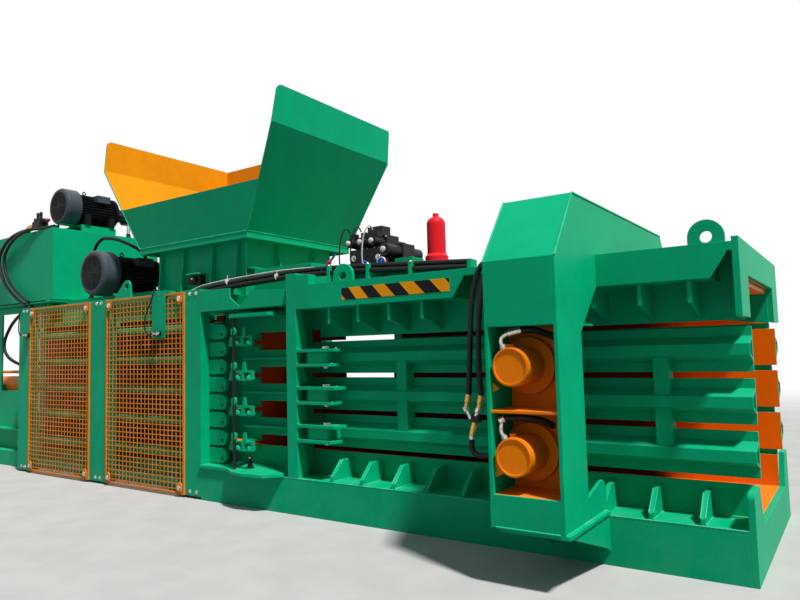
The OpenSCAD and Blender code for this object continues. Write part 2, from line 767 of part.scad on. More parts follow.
// Windowed bracket with two domed guide posts, one at each wire slot
module wire_guide(z) {
    color("seagreen") {
        difference() {
            along_y(guide_y, guide_y + 26) polygon([
                [guide_x0 - 8, z - 28], [guide_x0 + 14, z + guide_high],
                [guide_x0 + guide_w, z + guide_high], [guide_x0 + guide_w, z - 28],
                [guide_x0 + guide_w - 20, z - guide_low], [guide_x0, z - guide_low]]);
            for (k = [0, 1])
                block(guide_x0 + 48 + 140 * k, guide_x0 + 148 + 116 * k, guide_y - 1,
                    guide_y + 27, z - 22, z + 34);
        }
        // Side cheeks back to the wall, above and below the wire slot
        for (s = [-1, 1]) let (zc = z + s * (slot_h / 2 + 10))
            block(guide_x0, tying_window_x, guide_y + 26, -wall_out, zc - 7, zc + 7);
        for (k = [0, 1]) translate([guide_x0 + 98 + 146 * k, guide_y + 26, z - 22])
            rotate_extrude() polygon(concat([[0, 0], [dome_r, 0]],
                arc(0, 6, dome_r - 2, 0, 90, 8)));
        // Upright fin on the bracket
        along_y(guide_y, guide_y + 14) polygon([
            [guide_x0 + 160, z + guide_high], [guide_x0 + 176, z + guide_high + 72],
            [guide_x0 + 200, z + guide_high + 72], [guide_x0 + 214, z + guide_high]]);
    }
}

module wire_guides() { for (i = [0:3]) wire_guide(slot_z + slot_pitch * i); }

finger_x = guide_x0 + 98;
finger_y = guide_y - 30;
finger_z0 = base_h + 26;
finger_z1 = header_z0 - 76;
// Upright shaft that carries one wire finger above each guide
module finger_shaft() {
    color("seagreen") {
        rod_z(finger_x, finger_y, 14, finger_z0 + seat_gap, finger_z1 - seat_gap);
        for (i = [0:3]) let (z = slot_z + slot_pitch * i + guide_high + 40)
            along_y(finger_y - 11, finger_y + 11) {
                translate([finger_x - 28, z - 8]) square([56, 16]);
                for (s = [-1, 1]) translate([finger_x, z + 8 * s]) circle(28);
            }
    }
}

/* Press chamber, ram housing and rear frame */

chamber_rib_z = [340, 650, 950, 1250, 1560];
module chamber_wall_side() {
    x0 = bulkhead_x + bulkhead_t;
    color("orangered") {
        block(x0, tying_x0, -wall_out, -wall_in, floor_z, roof_z);
    }
    color("seagreen") {
        for (z = chamber_rib_z)
            along_x(x0, tying_x0) polygon([
                [-wall_out, z - 40], [-wall_out - 90, z - 24], [-wall_out - 90, z + 24],
                [-wall_out, z + 40]]);
        block(x0, tying_x0, -wall_out - 60, -wall_out, 0, floor_z);
    }
}

module chamber_walls() {
    chamber_wall_side();
    mirror([0, 1, 0]) chamber_wall_side();
}

neck_l = 1300;
neck_w = channel_w;
neck_t = 14;
shear_x = [803, 1494];
shear_w = 2 * (wall_out + 20);
// Cross box over the tying section that backs the shear blade, and the roof under it
module shear_beam() {
    top = top_beam_top + 225;
    color("seagreen") {
        difference() {
            block(shear_x[0], shear_x[1], -shear_w / 2, shear_w / 2, top_beam_top, top);
            block(shear_x[0] + 16, shear_x[1] - 16, -shear_w / 2 + 16, shear_w / 2 - 16,
                top_beam_top + 16, top - 16);
        }
        block(neck_l / 2, post_x1, -wall_in, wall_in, roof_z, roof_z + roof_t);
        for (x = shear_x)
            block(x - (x == shear_x[1] ? 40 : 0), x + (x == shear_x[1] ? 0 : 40), -wall_in, wall_in,
                roof_z + roof_t, top_beam_top);
    }
}

post_sheet = 10;
// Tube with capped ends
module guard_post(i) {
    x0 = guard_x[i];
    x1 = guard_x[i] + guard_w[i];
    difference() {
        block(x0, x1, -half_w, -half_w + guard_d, panel_z, guard_h);
        block(x0 + post_sheet, x1 - post_sheet, -half_w + post_sheet, -half_w + guard_d - post_sheet,
            panel_z + post_sheet, guard_h - post_sheet);
    }
}

rail_h = 60;
lift_x = guard_x[1] + 577;
lift_z = guard_h + 118;
lift_hole_r = 30;
module guard_side() {
    for (i = [0:2]) guard_post(i);
    // Rails behind the mesh panels, and a bracket from each post back to the chamber wall
    for (z = [guard_h - rail_h, panel_z + 60], i = [0, 1])
        block(guard_x[i] + guard_w[i], guard_x[i + 1], -half_w + 30, -half_w + guard_d, z, z + rail_h);
    for (i = [0:2])
        block(guard_x[i] + 20, guard_x[i] + 80, -half_w + guard_d, -wall_out, roof_z - 40, roof_z);
}

module guard_frame() {
    color("seagreen") {
        guard_side();
        mirror([0, 1, 0]) guard_side();
        // Lifting lug on the near rail
        along_y(-half_w + 40, -half_w + 60) difference() {
            union() {
                polygon([
                    [lift_x - 225, guard_h], [lift_x + 76, guard_h], [lift_x + 60, lift_z],
                    [lift_x - 40, lift_z + 45]]);
                translate([lift_x, lift_z]) circle(60);
            }
            translate([lift_x, lift_z]) circle(lift_hole_r);
        }
    }
}

panel_t = 16;
panel_frame = 22;
// Mesh panel with its frame and four corner lugs, each with its bolt
module guard_mesh(x0, x1) {
    z0 = panel_z;
    z1 = guard_h - 12;
    w = x1 - x0 - 2 * panel_frame;
    h = z1 - z0 - 2 * panel_frame;
    cell_w = (w + strand_w) / mesh_cols;
    cell_h = (h + strand_w) / mesh_rows;
    color("orange") {
        along_y(-half_w - panel_t, -half_w) difference() {
            translate([x0, z0]) square([x1 - x0, z1 - z0]);
            for (i = [0:mesh_cols - 1], k = [0:mesh_rows - 1])
                translate([x0 + panel_frame + i * cell_w, z0 + panel_frame + k * cell_h])
                    square([cell_w - strand_w, cell_h - strand_w]);
        }
        for (x = [x0 + 70, x1 - 70], z = [z0 + 60, z1 - 60]) {
            along_y(-half_w - panel_t - 12, -half_w - panel_t) {
                translate([x - 38, z - 38]) square([76, 76]);
                translate([x, z + 38]) circle(38);
            }
            translate([x, -half_w - panel_t - 12, z]) rotate([90, 0, 0]) cylinder(r = 16, h = 14, $fn = 6);
        }
    }
}

module guard_mesh_left() { guard_mesh(guard_x[0] + guard_w[0], guard_x[1]); }
module guard_mesh_right() { guard_mesh(guard_x[1] + guard_w[1], guard_x[2]); }

main_flange_r = main_od / 2 + 70;
main_wall = 24;
main_tail = rear_x + 60;
ram_front = -neck_l / 2 - 80;
ram_back = ram_front - ram_l;
ram_play = 8;

module main_barrel() {
    x1 = bulkhead_x + bulkhead_t + 150;
    color("orange") difference() {
        union() {
            rod_x(0, ram_axis_z, main_od / 2, main_tail, x1);
            rod_x(0, ram_axis_z, main_flange_r, bulkhead_x - 50, bulkhead_x);
            rod_x(0, ram_axis_z, main_od / 2 + 14, main_tail, main_tail + 70);
            rod_z(main_tail + 130, 0, 34, ram_axis_z + main_od / 2 - 10, ram_axis_z + main_od / 2 + 40);
        }
        rod_x(0, ram_axis_z, main_od / 2 - main_wall, main_tail + 80, x1 - 80);
        rod_x(0, ram_axis_z, main_rod_d / 2 + fit, x1 - 81, x1 + 1);
    }
    // Return line along the barrel with its clamps
    color("orange") {
        rod_x(0, ram_axis_z + main_od / 2 + 62, 22, main_tail + 130, bulkhead_x - 50);
        for (x = [bulkhead_x - 500, bulkhead_x - 1500]) {
            block(x, x + 40, -22, 22, ram_axis_z + main_od / 2 - 5, ram_axis_z + main_od / 2 + 45);
        }
    }
}

module main_rod() {
    color("gainsboro") {
        rod_x(0, ram_axis_z, main_rod_d / 2, main_tail + 200, ram_back - 30);
        rod_x(0, ram_axis_z, main_od / 2 - main_wall - fit, main_tail + 140, main_tail + 200);
        rod_x(0, ram_axis_z, main_rod_d / 2 + 40, ram_back - 30, ram_back);
    }
}

groove_d = 60;
// Box of the ram, with a groove across its face for each wire
module ram_box() {
    y1 = wall_in - ram_play;
    z0 = floor_z + ram_play;
    z1 = roof_z - 2 * ram_play;
    color("orangered") difference() {
        block(ram_back, ram_front, -y1, y1, z0, z1);
        block(ram_back - 1, ram_front - 80, -y1 + 20, y1 - 20, z0 + 20, z1 - 20);
        for (i = [0:3])
            block(ram_front - groove_d, ram_front + 1, -y1 - 1, y1 + 1,
                slot_z + slot_pitch * i - slot_h / 2, slot_z + slot_pitch * i + slot_h / 2);
    }
    color("orangered") {
        block(ram_back, ram_back + 40, -170, 170, z0 + 20, z1 - 20);
        block(ram_back + 40, ram_front - 80, -10, 10, z0 + 20, z1 - 20);
        // Wear shoes under the box
        for (y = [-y1 + 40, y1 - 120])
            block(ram_back + 60, ram_front - 60, y, y + 80, floor_z + seat_gap, z0);
    }
}

web_top = 1969;
web_l = 1400;
// Rear frame: bulkhead, side webs with a wide window, and rails that hold the cylinder's tail
module rear_frame() {
    web_x0 = bulkhead_x - web_l;
    rail_w = 180;
    color("seagreen") {
        difference() {
            block(bulkhead_x, bulkhead_x + bulkhead_t, -wall_out, wall_out, plate_t, roof_z);
            rod_x(0, ram_axis_z, main_od / 2 + fit, bulkhead_x - 1, bulkhead_x + bulkhead_t + 1);
        }
        for (s = [0, 1]) mirror([0, s, 0]) {
            along_y(-wall_out, -wall_out + 20) difference() {
                polygon([
                    [web_x0, 180], [web_x0, web_top], [bulkhead_x, web_top], [bulkhead_x, 180]]);
                // Only the near web has the window
                if (s == 0) polygon([
                    [web_x0 + 330, 900], [web_x0 + 330, web_top - 84],
                    [bulkhead_x - 120, web_top - 84], [bulkhead_x - 120, 640],
                    [bulkhead_x - 420, 640], [bulkhead_x - 620, 900]]);
            }
            along_x(rear_x, bulkhead_x)
                hollow_rect(-wall_out - rail_w + 20, -wall_out + 20, 0, 180, plate_t);
            block(bulkhead_x - plate_t, bulkhead_x,
                -wall_out - rail_w + 20, -wall_out + 20, 0, 180);
            // Ledge along the web
            block(web_x0, bulkhead_x, -wall_out - 110, -wall_out, 420, 440);
        }
        // Cross members and the saddle under the cylinder's tail
        for (x = [rear_x, web_x0, (web_x0 + rear_x) / 2])
            block(x, x + 60, -wall_out + 20, wall_out - 20, 20, 160);
        difference() {
            block(rear_x + 600, rear_x + 660, -180, 180, 160, ram_axis_z);
            rod_x(0, ram_axis_z, main_od / 2 + seat_gap, rear_x + 599, rear_x + 661);
        }
        block(rear_x + 600, rear_x + 660, -wall_out + 20, wall_out - 20, 20, 160);
    }
}

/* Hopper and its neck */

neck_band = 62;
neck_top = flange_z - neck_band;
neck_rib_top = 22;
neck_rib_low = 75;
module neck_rib_profile(z0) {
    polygon([[0, z0], [neck_rib_low, z0], [neck_rib_top, neck_top], [0, neck_top]]);
}

module hopper_neck() {
    nx = neck_l / 2;
    ny = neck_w / 2;
    ledge_z = neck_top - 248;
    color("seagreen") {
        // Walls of the neck
        along_z(roof_z, neck_top) difference() {
            translate([-nx, -ny]) square([neck_l, neck_w]);
            translate([-nx + neck_t, -ny + neck_t]) square([neck_l - 2 * neck_t, neck_w - 2 * neck_t]);
        }
        // Flange band that carries the hopper
        along_z(neck_top, flange_z - 12) {
            hollow_rect(-hopper_l / 2, hopper_l / 2, -hopper_w / 2, hopper_w / 2, 12);
            hollow_rect(-nx, nx, -ny, ny, neck_t);
        }
        along_z(flange_z - 12, flange_z) difference() {
            translate([-hopper_l / 2, -hopper_w / 2]) square([hopper_l, hopper_w]);
            translate([-nx + neck_t, -ny + neck_t]) square([neck_l - 2 * neck_t, neck_w - 2 * neck_t]);
        }
        // Tapered ribs on the long sides
        for (s = [0, 1]) mirror([0, s, 0])
            for (x = [-nx + 60, -nx + 420, -nx + 860, nx - 90])
                translate([x, -ny, 0]) rotate([90, 0, -90]) translate([0, 0, -8])
                    linear_extrude(16) neck_rib_profile(top_beam_top + 8);
        // Tapered ribs and ledge on the outlet side
        for (y = [-ny + 390, ny - 290])
            translate([nx, y, 0]) rotate([90, 0, 0]) translate([0, 0, -8])
                linear_extrude(16) neck_rib_profile(ledge_z);
        block(nx, nx + 70, -ny, ny, ledge_z - 16, ledge_z);
    }
}

rim_out_x = 28;
rim_in_y = 38;
rim_r = 70;
rim_back_r = 30;

// One rectangular ring of the flared shell, as a thin slab at height z
module slab(lx, ly, z) { translate([-lx, -ly, z]) cube([2 * lx, 2 * ly, 0.01]); }

module flare(inset, shift_y = 0) {
    lx = hopper_l / 2 - inset;
    ly = hopper_w / 2 - inset;
    translate([0, shift_y, 0]) {
        hull() {
            slab(lx, ly, flange_z);
            slab(lx + hopper_flare_x, ly + hopper_flare_y, hopper_fold_z);
        }
        hull() {
            slab(lx + hopper_flare_x, ly + hopper_flare_y, hopper_fold_z);
            slab(lx + hopper_flare_x + rim_out_x, ly + hopper_flare_y, hopper_top_z);
        }
    }
}

// Side view of the end panels: upright rims with rounded corners
module rim_outline() {
    y1 = hopper_w / 2 + hopper_flare_y;
    polygon(concat(
        [[-y1 - 60, flange_z], [-y1, hopper_fold_z]],
        arc(-y1 + rim_in_y + rim_r, hopper_top_z - rim_r, rim_r, 180, 90),
        arc(y1 - rim_back_r, hopper_top_z - rim_back_r, rim_back_r, 90, 0),
        [[y1, hopper_fold_z], [y1 + 60, flange_z]]));
}

module hopper() {
    color("seagreen") intersection() {
        difference() {
            flare(0);
            difference() {
                flare(sheet_t);
                block(-9000, 9000, -9000, 9000, 0, flange_z);
            }
            intersection() {
                flare(sheet_t, -hopper_w / 2);
                block(-9000, 9000, -9000, 0, hopper_front_z, hopper_top_z + 10);
            }
            block(-neck_l / 2, neck_l / 2, -neck_w / 2, neck_w / 2, flange_z - 1, flange_z + 1);
        }
        along_x(-9000, 9000) rim_outline();
    }
}

/* Power unit */

deck_z = web_top + 16;
deck_x0 = -4300;
tank_x1 = -2542;
tank_z0 = deck_z + 16;
deck_x1 = -neck_l / 2 - 60;
deck_step = tank_x1 + 42;
deck_near = 560;
deck_far = tank_w / 2 + 20;
module deck() {
    rail = 60;
    color("seagreen") {
        // Wide part under the tank, narrow part under the lower motor
        block(deck_x0, deck_step, -deck_far, deck_far, deck_z - 16, deck_z);
        block(deck_step, deck_x1, -deck_near, deck_far, deck_z - 16, deck_z);
        for (s = [-1, 1]) {
            block(bulkhead_x + bulkhead_t, deck_x1, s * (deck_near - 8) - 8, s * (deck_near - 8) + 8,
                roof_z + 10, deck_z - 16);
            y0 = s * (wall_out - 10) - rail / 2;
            block(bulkhead_x + bulkhead_t, -neck_l / 2, y0, y0 + rail, roof_z, roof_z + rail);
            block(bulkhead_x + 60, bulkhead_x + 140, y0, y0 + rail, roof_z + rail, deck_z - 16);
        }
        for (x = [-1980, -800], s = [-1, 1])
            block(x, x + 80, s * (deck_near - 40) - rail / 2, s * (deck_near - 40) + rail / 2,
                roof_z + 10, deck_z - 16);
        block(bulkhead_x + bulkhead_t, -neck_l / 2, -wall_in + 20, wall_in - 20, roof_z, roof_z + 10);
    }
}

module oil_tank() {
    x0 = tank_x1 - tank_l;
    t = 8;
    color("seagreen") {
        difference() {
            block(x0, tank_x1, -tank_w / 2, tank_w / 2, tank_z0, tank_top);
            block(x0 + t, tank_x1 - t, -tank_w / 2 + t, tank_w / 2 - t, tank_z0 + t, tank_top - t);
        }
        for (x = [x0 + 60, tank_x1 - 160]) block(x, x + 100, -tank_w / 2, tank_w / 2, deck_z, tank_z0);
        // Filler neck with its cap, and the motor's rail brackets
        rod_z(x0 + 300, 0, 60, tank_top, tank_top + 40);
        rod_z(x0 + 300, 0, 78, tank_top + 40, tank_top + 75);
    }
}

// Motor with axis along Y: foot rails, finned body, bearing shields, terminal box, eyebolt.
// The fan cowl is a shell with a slotted end, and the fan turns inside it.
cowl_ratio = 0.8;
fins_ratio = 2.15;
motor_nose = 70;
module motor(x, y0, z, r, z_seat) {
    body_r = r * 0.84;
    cowl_l = r * cowl_ratio;
    body_l = r * fins_ratio;
    yb = y0 + cowl_l;
    color("dimgray") {
        // Cowl shell
        difference() {
            translate([x, y0, z]) rotate([-90, 0, 0]) rotate_extrude() polygon(concat(
                [[0, 0]], arc(r - 40, 40, 40, -90, 0, 6), [[r, cowl_l], [r - 5, cowl_l]],
                [[r - 5, 44], [r - 40, 6], [0, 6]]));
            for (k = [1:7]) let (rr = r * 0.1 * k)
                translate([x, y0 - 1, z]) rotate([-90, 0, 0]) difference() {
                    cylinder(r = rr + 9, h = 12);
                    translate([0, 0, -1]) cylinder(r = rr, h = 14);
                    for (a = [0, 90]) rotate([0, 0, a]) translate([-r, -8, -1]) cube([2 * r, 16, 14]);
                }
        }
        // Finned body
        translate([x, yb, z]) rotate([-90, 0, 0]) linear_extrude(body_l) {
            circle(body_r - 26);
            for (k = [0:fin_count - 1]) rotate([0, 0, 360 / fin_count * k])
                translate([body_r - 32, -3]) square([32, 6]);
        }
        // Bearing shields
        difference() {
            rod_y(x, z, r - 5, yb - 14, yb);
            rod_y(x, z, 31, yb - 15, yb + 1);
        }
        rod_y(x, z, body_r, yb + body_l, yb + body_l + 30);
        rod_y(x, z, body_r * 0.5, yb + body_l + 30, yb + body_l + motor_nose);
        // Feet
        for (yy = [yb + 64, yb + body_l - 110]) difference() {
            block(x - body_r, x + body_r, yy, yy + 70, z_seat, z - body_r * 0.45);
            rod_y(x, z, body_r - 30, yy - 1, yy + 71);
            block(x - body_r * 0.55, x + body_r * 0.55, yy - 1, yy + 71, z_seat - 1, z_seat + 40);
        }
        // Terminal box
        block(x + body_r * 0.4, x + body_r + 40, yb + body_l * 0.4, yb + body_l * 0.75,
            z + body_r * 0.42, z + body_r * 0.88);
        // Eyebolt
        translate([x, yb + body_l * 0.3, z + body_r + 26]) rotate([0, 90, 0])
            rotate_extrude() translate([20, 0]) circle(7);
        rod_z(x, yb + body_l * 0.3, 9, z + body_r - 30, z + body_r + 4);
    }
}

upper_x = tank_x1 - 365;
upper_y = -470;
upper_z = tank_top + 345;
lower_x = -neck_l / 2 - 904;
lower_y = -820;
lower_z = deck_z + 236;
rail_t = 14;

// Shaft and fan, which turn together inside the cowl
module motor_fan(x, y0, z, r) {
    color("black") {
        rod_y(x, z, 30, y0 + 20, y0 + r * cowl_ratio - seat_gap);
        rod_y(x, z, 62, y0 + r * 0.3, y0 + r * 0.6);
        for (k = [0:7]) translate([x, y0 + r * 0.3, z]) rotate([-90, 0, 0]) rotate([0, 0, 45 * k])
            translate([50, -5, 0]) cube([r * 0.78 - 50, 10, r * 0.33]);
    }
}

foot_drop = 225;
bench_z = upper_z - foot_drop;
function pump_y(y0, r) = y0 + r * (cowl_ratio + fins_ratio) + motor_nose;
module motor_upper() {
    motor(upper_x, upper_y, upper_z, motor_r, bench_z);
    // Bench that carries it on the tank
    y0 = upper_y + motor_r * cowl_ratio + 20;
    y1 = pump_y(upper_y, motor_r) - motor_nose - 10;
    color("seagreen") {
        block(upper_x - motor_r, upper_x + motor_r - 54, y0, y1, bench_z - rail_t, bench_z);
        for (x = [upper_x - motor_r, upper_x + motor_r - 54 - rail_t])
            block(x, x + rail_t, y0, y1, tank_top, bench_z - rail_t);
    }
}

module motor_lower() { motor(lower_x, lower_y, lower_z, low_motor_r, deck_z); }
module motor_fan_upper() { motor_fan(upper_x, upper_y, upper_z, motor_r); }
module motor_fan_lower() { motor_fan(lower_x, lower_y, lower_z, low_motor_r); }

module pump(x, y0, z) {
    color("dimgray") {
        rod_y(x, z, 120, y0, y0 + 24);
        rod_y(x, z, 84, y0 + 24, y0 + 130);
        rod_y(x, z, 104, y0 + 130, y0 + 160);
        block(x - 90, x + 90, y0 + 160, y0 + 330, z - 100, z + 100);
        rod_y(x, z, 70, y0 + 330, y0 + 370);
    }
}

module pumps() {
    pump(upper_x, pump_y(upper_y, motor_r), upper_z);
    pump(lower_x, pump_y(lower_y, low_motor_r), lower_z);
}

// Return manifold on the tank: riser pipe, block and four capped valves
riser_x = -3420;
riser_y = -420;
module tank_valves() {
    z0 = tank_top + 150;
    color("dimgray") {
        rod_z(riser_x, riser_y, 30, tank_top, z0);
        rod_z(riser_x, riser_y, 46, tank_top, tank_top + 20);
        block(riser_x - 70, riser_x + 70, riser_y - 60, riser_y + 60, z0, z0 + 110);
        for (k = [-1, 1]) {
            rod_x(riser_y, z0 + 70, 26, k > 0 ? riser_x + 70 : riser_x - 170,
                k > 0 ? riser_x + 170 : riser_x - 70);
            rod_z(riser_x + 40 * k, riser_y - 20, 18, z0 + 110, z0 + 190);
        }
        // Elbow pipe down to the tank's top
        tube([[riser_x - 165, riser_y, z0 + 20], [riser_x - 260, riser_y, z0 + 25],
            [riser_x - 340, riser_y, z0 - 10], [riser_x - 372, riser_y, z0 - 70],
            [riser_x - 372, riser_y, tank_top + 25], [riser_x - 372, riser_y, tank_top]], 76, 12, 3);
        block(riser_x - 170, riser_x - 70, riser_y - 30, riser_y + 30, z0, z0 + 45);
    }
    color("crimson") {
        for (k = [-1, 1])
            rod_x(riser_y, z0 + 70, 20, k > 0 ? riser_x + 170 : riser_x - 195,
                k > 0 ? riser_x + 195 : riser_x - 170);
    }
}

valve_x = 1780;
valve_y = -560;
valve_z = top_beam_top + 84;
stand_l = 1000;
solenoid_r = 38;
module valve_manifold() {
    z_row = valve_z + 261;
    color("dimgray") {
        // Stand across the roof
        for (x = [valve_x, valve_x + stand_l - 40]) {
            block(x, x + 40, -wall_out - 30, -wall_out, top_beam_top, valve_z - 14);
            block(x, x + 40, 0, 40, roof_z + roof_t, valve_z - 14);
        }
        block(valve_x, valve_x + stand_l, -wall_out - 30, 40, valve_z - 14, valve_z);
        // Manifold block under a bank of three valves, and a larger valve beside it
        block(valve_x + 90, valve_x + 400, valve_y, valve_y + 330, valve_z, z_row - 52);
        for (k = [0:2]) let (x = valve_x + 115 + 118 * k) {
            block(x - 50, x + 50, valve_y + 90, valve_y + 260, z_row - 52, z_row + 62);
            rod_y(x, z_row, solenoid_r, valve_y - 52, valve_y + 90);
            rod_y(x, z_row, solenoid_r / 2, valve_y - 62, valve_y - 52);
            rod_y(x, z_row, solenoid_r, valve_y + 260, valve_y + 400);
            block(x - 26, x + 26, valve_y - 10, valve_y + 50, z_row + solenoid_r - 4, z_row + 84);
        }
        let (x = valve_x + 472, z = valve_z + 176) {
            block(x - 60, x + 60, valve_y + 130, valve_y + 300, valve_z, z + 66);
            rod_y(x, z, 52, valve_y - 56, valve_y + 130);
            rod_y(x, z, 22, valve_y - 66, valve_y - 56);
            rod_y(x, z, 52, valve_y + 300, valve_y + 440);
        }
        block(valve_x + 180, valve_x + 330, valve_y + 120, valve_y + 240, z_row + 62, z_row + 150);
        // Pressure gauge on its stem
        rod_z(valve_x + 458, valve_y - 58, 8, valve_z, valve_z + 34);
        rod_y(valve_x + 458, valve_z + 72, 43, valve_y - 74, valve_y - 40);
    }
    color("seagreen")
        block(valve_x + 585, valve_x + 750, valve_y - 70, valve_y + 90, valve_z, valve_z + 88);
}

wheel_x = valve_x + 278;
wheel_z = valve_z + 70;
module handwheel() {
    color("royalblue") {
        difference() {
            rod_y(wheel_x, wheel_z, 36, valve_y - 72, valve_y - 50);
            for (k = [0:5]) rotate_about(wheel_x, wheel_z, 60 * k)
                rod_y(wheel_x + 44, wheel_z, 15, valve_y - 73, valve_y - 49);
        }
        rod_y(wheel_x, wheel_z, 10, valve_y - 50, valve_y - seat_gap);
    }
}

module rotate_about(x, z, a) {
    translate([x, 0, z]) rotate([0, a, 0]) translate([-x, 0, -z]) children();
}

bottle_x = valve_x + 832;
bottle_y = -400;
bottle_r = 74;
module accumulator() {
    color("crimson") translate([bottle_x, bottle_y, valve_z]) rotate_extrude() polygon(concat(
        [[0, 0], [bottle_r + 18, 0], [bottle_r + 18, 100], [bottle_r, 122]],
        arc(bottle_r - 60, 360, 60, 0, 70, 6),
        [[24, 422], [24, 446], [0, 446]]));
}

eye_r = 96;
eye_hole_r = 34;
eye_rise = eye_hole_r + 6;
eye_t = 30;
eye_x = [post_x1 + 482, outlet_x - 165];
module lifting_eyes() {
    color("seagreen") for (x = eye_x) difference() {
        along_y(-half_w + 20, -half_w + 20 + eye_t) {
            translate([x, top_beam_top + eye_rise]) circle(eye_r);
            translate([x - eye_r, top_beam_top]) square([2 * eye_r, eye_rise]);
        }
        block(x - 2 * eye_r, x + 2 * eye_r, -half_w, -half_w + 80, 0, top_beam_top);
        rod_y(x, top_beam_top + eye_rise, eye_hole_r, -half_w, -half_w + 80);
    }
}

/* Hoses and pipes */

function unit(v) = v / norm(v);
function blend_at(a, b, c, d, t) =
    0.5 * (2 * b + (c - a) * t + (2 * a - 5 * b + 4 * c - d) * t * t
        + (3 * b - a - 3 * c + d) * t * t * t);
function smooth_path(p, n) = let (m = len(p) - 1) concat(
    [for (i = [0:m - 1], j = [0:n - 1])
        blend_at(p[max(i - 1, 0)], p[i], p[i + 1], p[min(i + 2, m)], j / n)], [p[m]]);

// Carries a frame along the route without twisting it
function carry(v, t) = unit(v - (v * t) * t);
function normals(tan, i = 0, out = []) = i >= len(tan) ? out :
    normals(tan, i + 1, concat(out, [carry(i == 0 ? (abs(tan[0].z) < 0.8 ? [0, 0, 1] : [1, 0, 0])
        : out[i - 1], tan[i])]));

module tube(route, d, sides = 8, n = 2) {
    p = smooth_path(route, n);
    m = len(p);
    tan = [for (i = [0:m - 1]) unit(p[min(i + 1, m - 1)] - p[max(i - 1, 0)])];
    nor = normals(tan);
    pts = [for (i = [0:m - 1]) let (u = nor[i], v = cross(tan[i], u)) for (k = [0:sides - 1])
        p[i] + d / 2 * (cos(360 / sides * k) * u + sin(360 / sides * k) * v)];
    side_faces = [for (i = [0:m - 2], k = [0:sides - 1]) let (a = i * sides, q = (k + 1) % sides)
        [a + k, a + sides + k, a + sides + q, a + q]];
    polyhedron(pts, concat([[for (k = [0:sides - 1]) k]], side_faces,
        [[for (k = [sides - 1:-1:0]) (m - 1) * sides + k]]));
}

upper_hose = [[3712, -1524, 1276], [3692, -1524, 1322], [3722, -1512, 1356], [3800, -1490, 1376],
    [3880, -1440, 1374], [3950, -1380, 1340]];
lower_hose = [[3702.2, -1524, 782.85], [3672, -1524, 835], [3680, -1520, 878], [3730, -1508, 898],
    [3800, -1490, 900], [3880, -1440, 890], [3930, -1390, 850]];
drop_hose_a = [[3560, -760, 1862], [3450, -900, 1885], [3350, -975, 1860], [3282, -985, 1795],
    [3226, -985, 1595], [3202, -985, 1278], [3181, -985, 985], [3166, -985, 890],
    [3200, -985, 835]];
drop_hose_b = [[3570, -700, 1862], [3480, -870, 1885], [3385, -975, 1845], [3308, -990, 1696],
    [3272, -990, 1382], [3268, -990, 1131], [3277, -990, 980], [3256, -988, 885],
    [3226, -988, 797], [3196, -988, 680], [3194, -988, 630], [3216, -988, 592],
    [3290, -990, 592], [3450, -1010, 620], [3570, -1080, 676], [3620, -1106, 694], [3657.1, -1110, 695]];
tank_hose_a = [[-2560, -700, 2887.3], [-2790, -715, 2887.3], [-3161, -765, 2888],
    [-3506, -775, 2820], [-3716, -775, 2665], [-3735, -775, 2490], [-3590, -775, 2256],
    [-3310, -775, 2062], [-3060, -770, 1945]];
tank_hose_b = [[-2560, -655, 2887.3], [-2740, -670, 2887.3], [-3060, -768, 2884],
    [-3390, -778, 2800], [-3590, -778, 2650], [-3610, -778, 2490], [-3470, -778, 2270],
    [-3230, -778, 2100], [-2990, -772, 1985]];
ram_hose = [[-3060, -700, 1968.7], [-3060, -700, 1950], [-3062, -700, 1930], [-3180, -700, 1905], [-3356, -700, 1851],
    [-3591, -700, 1709], [-3741, -700, 1494], [-3622, -690, 1316], [-3400, -560, 1190],
    [-3200, -330, 1110], [-3060, -190, 1029], [-3040, -105.4, 990.7]];
top_hose = [[120, 1880], [600, 1912], [990, 1930], [1400, 1942], [1800, 1936], [2200, 1920],
    [2600, 1896], [3100, 1866]];
top_hose_at = [[-752, 0], [-706, 0], [-729, 40]];

module squeeze_hoses() {
    color("black") for (r = [upper_hose, lower_hose, drop_hose_a, drop_hose_b]) tube(r, hose_d);
}

module tank_hoses() {
    color("black") {
        tube(tank_hose_a, hose_d);
        tube(tank_hose_b, hose_d);
        tube(ram_hose, hose_d);
    }
}

// Hoses laid along the top of the channel, behind the posts
module top_pipes() {
    color("black") {
        for (o = top_hose_at) tube([for (q = top_hose) [q[0], o[0], q[1] + o[1]]], hose_d);
        // Clamps that stand on the top beam
        for (k = [4:7]) block(top_hose[k][0] - 15, top_hose[k][0] + 15, top_hose_at[0][0] - 24,
            top_hose_at[1][0] + 24, top_beam_top, top_hose[k][1] + 50);
    }
}

/* Limit switches on the guards */

switch_x = [guard_x[0] + 200, guard_x[1] + guard_w[1] + 840];
switch_z = [1550, 1483];
bar_w = 206;
bar_x = switch_x[1] + 45 - bar_w / 2;
module limit_switches() {
    color("dimgray") for (k = [0, 1])
        block(switch_x[k], switch_x[k] + 90, -half_w - panel_t - 50, -half_w - panel_t - 6,
            switch_z[k], switch_z[k] + 46);
    color("seagreen") {
        // Hanging bar of the right switch and bracket of the left one
        block(bar_x, bar_x + bar_w, -half_w - panel_t - 6, -half_w - panel_t, switch_z[1] - 20,
            guard_h + 20);
        block(switch_x[0] - 60, switch_x[0] + 40, -half_w - panel_t - 6, -half_w,
            switch_z[0] - 20, switch_z[0] + 70);
        block(bar_x, bar_x + bar_w, -half_w - panel_t, -half_w + guard_d, guard_h, guard_h + 20);
    }
}

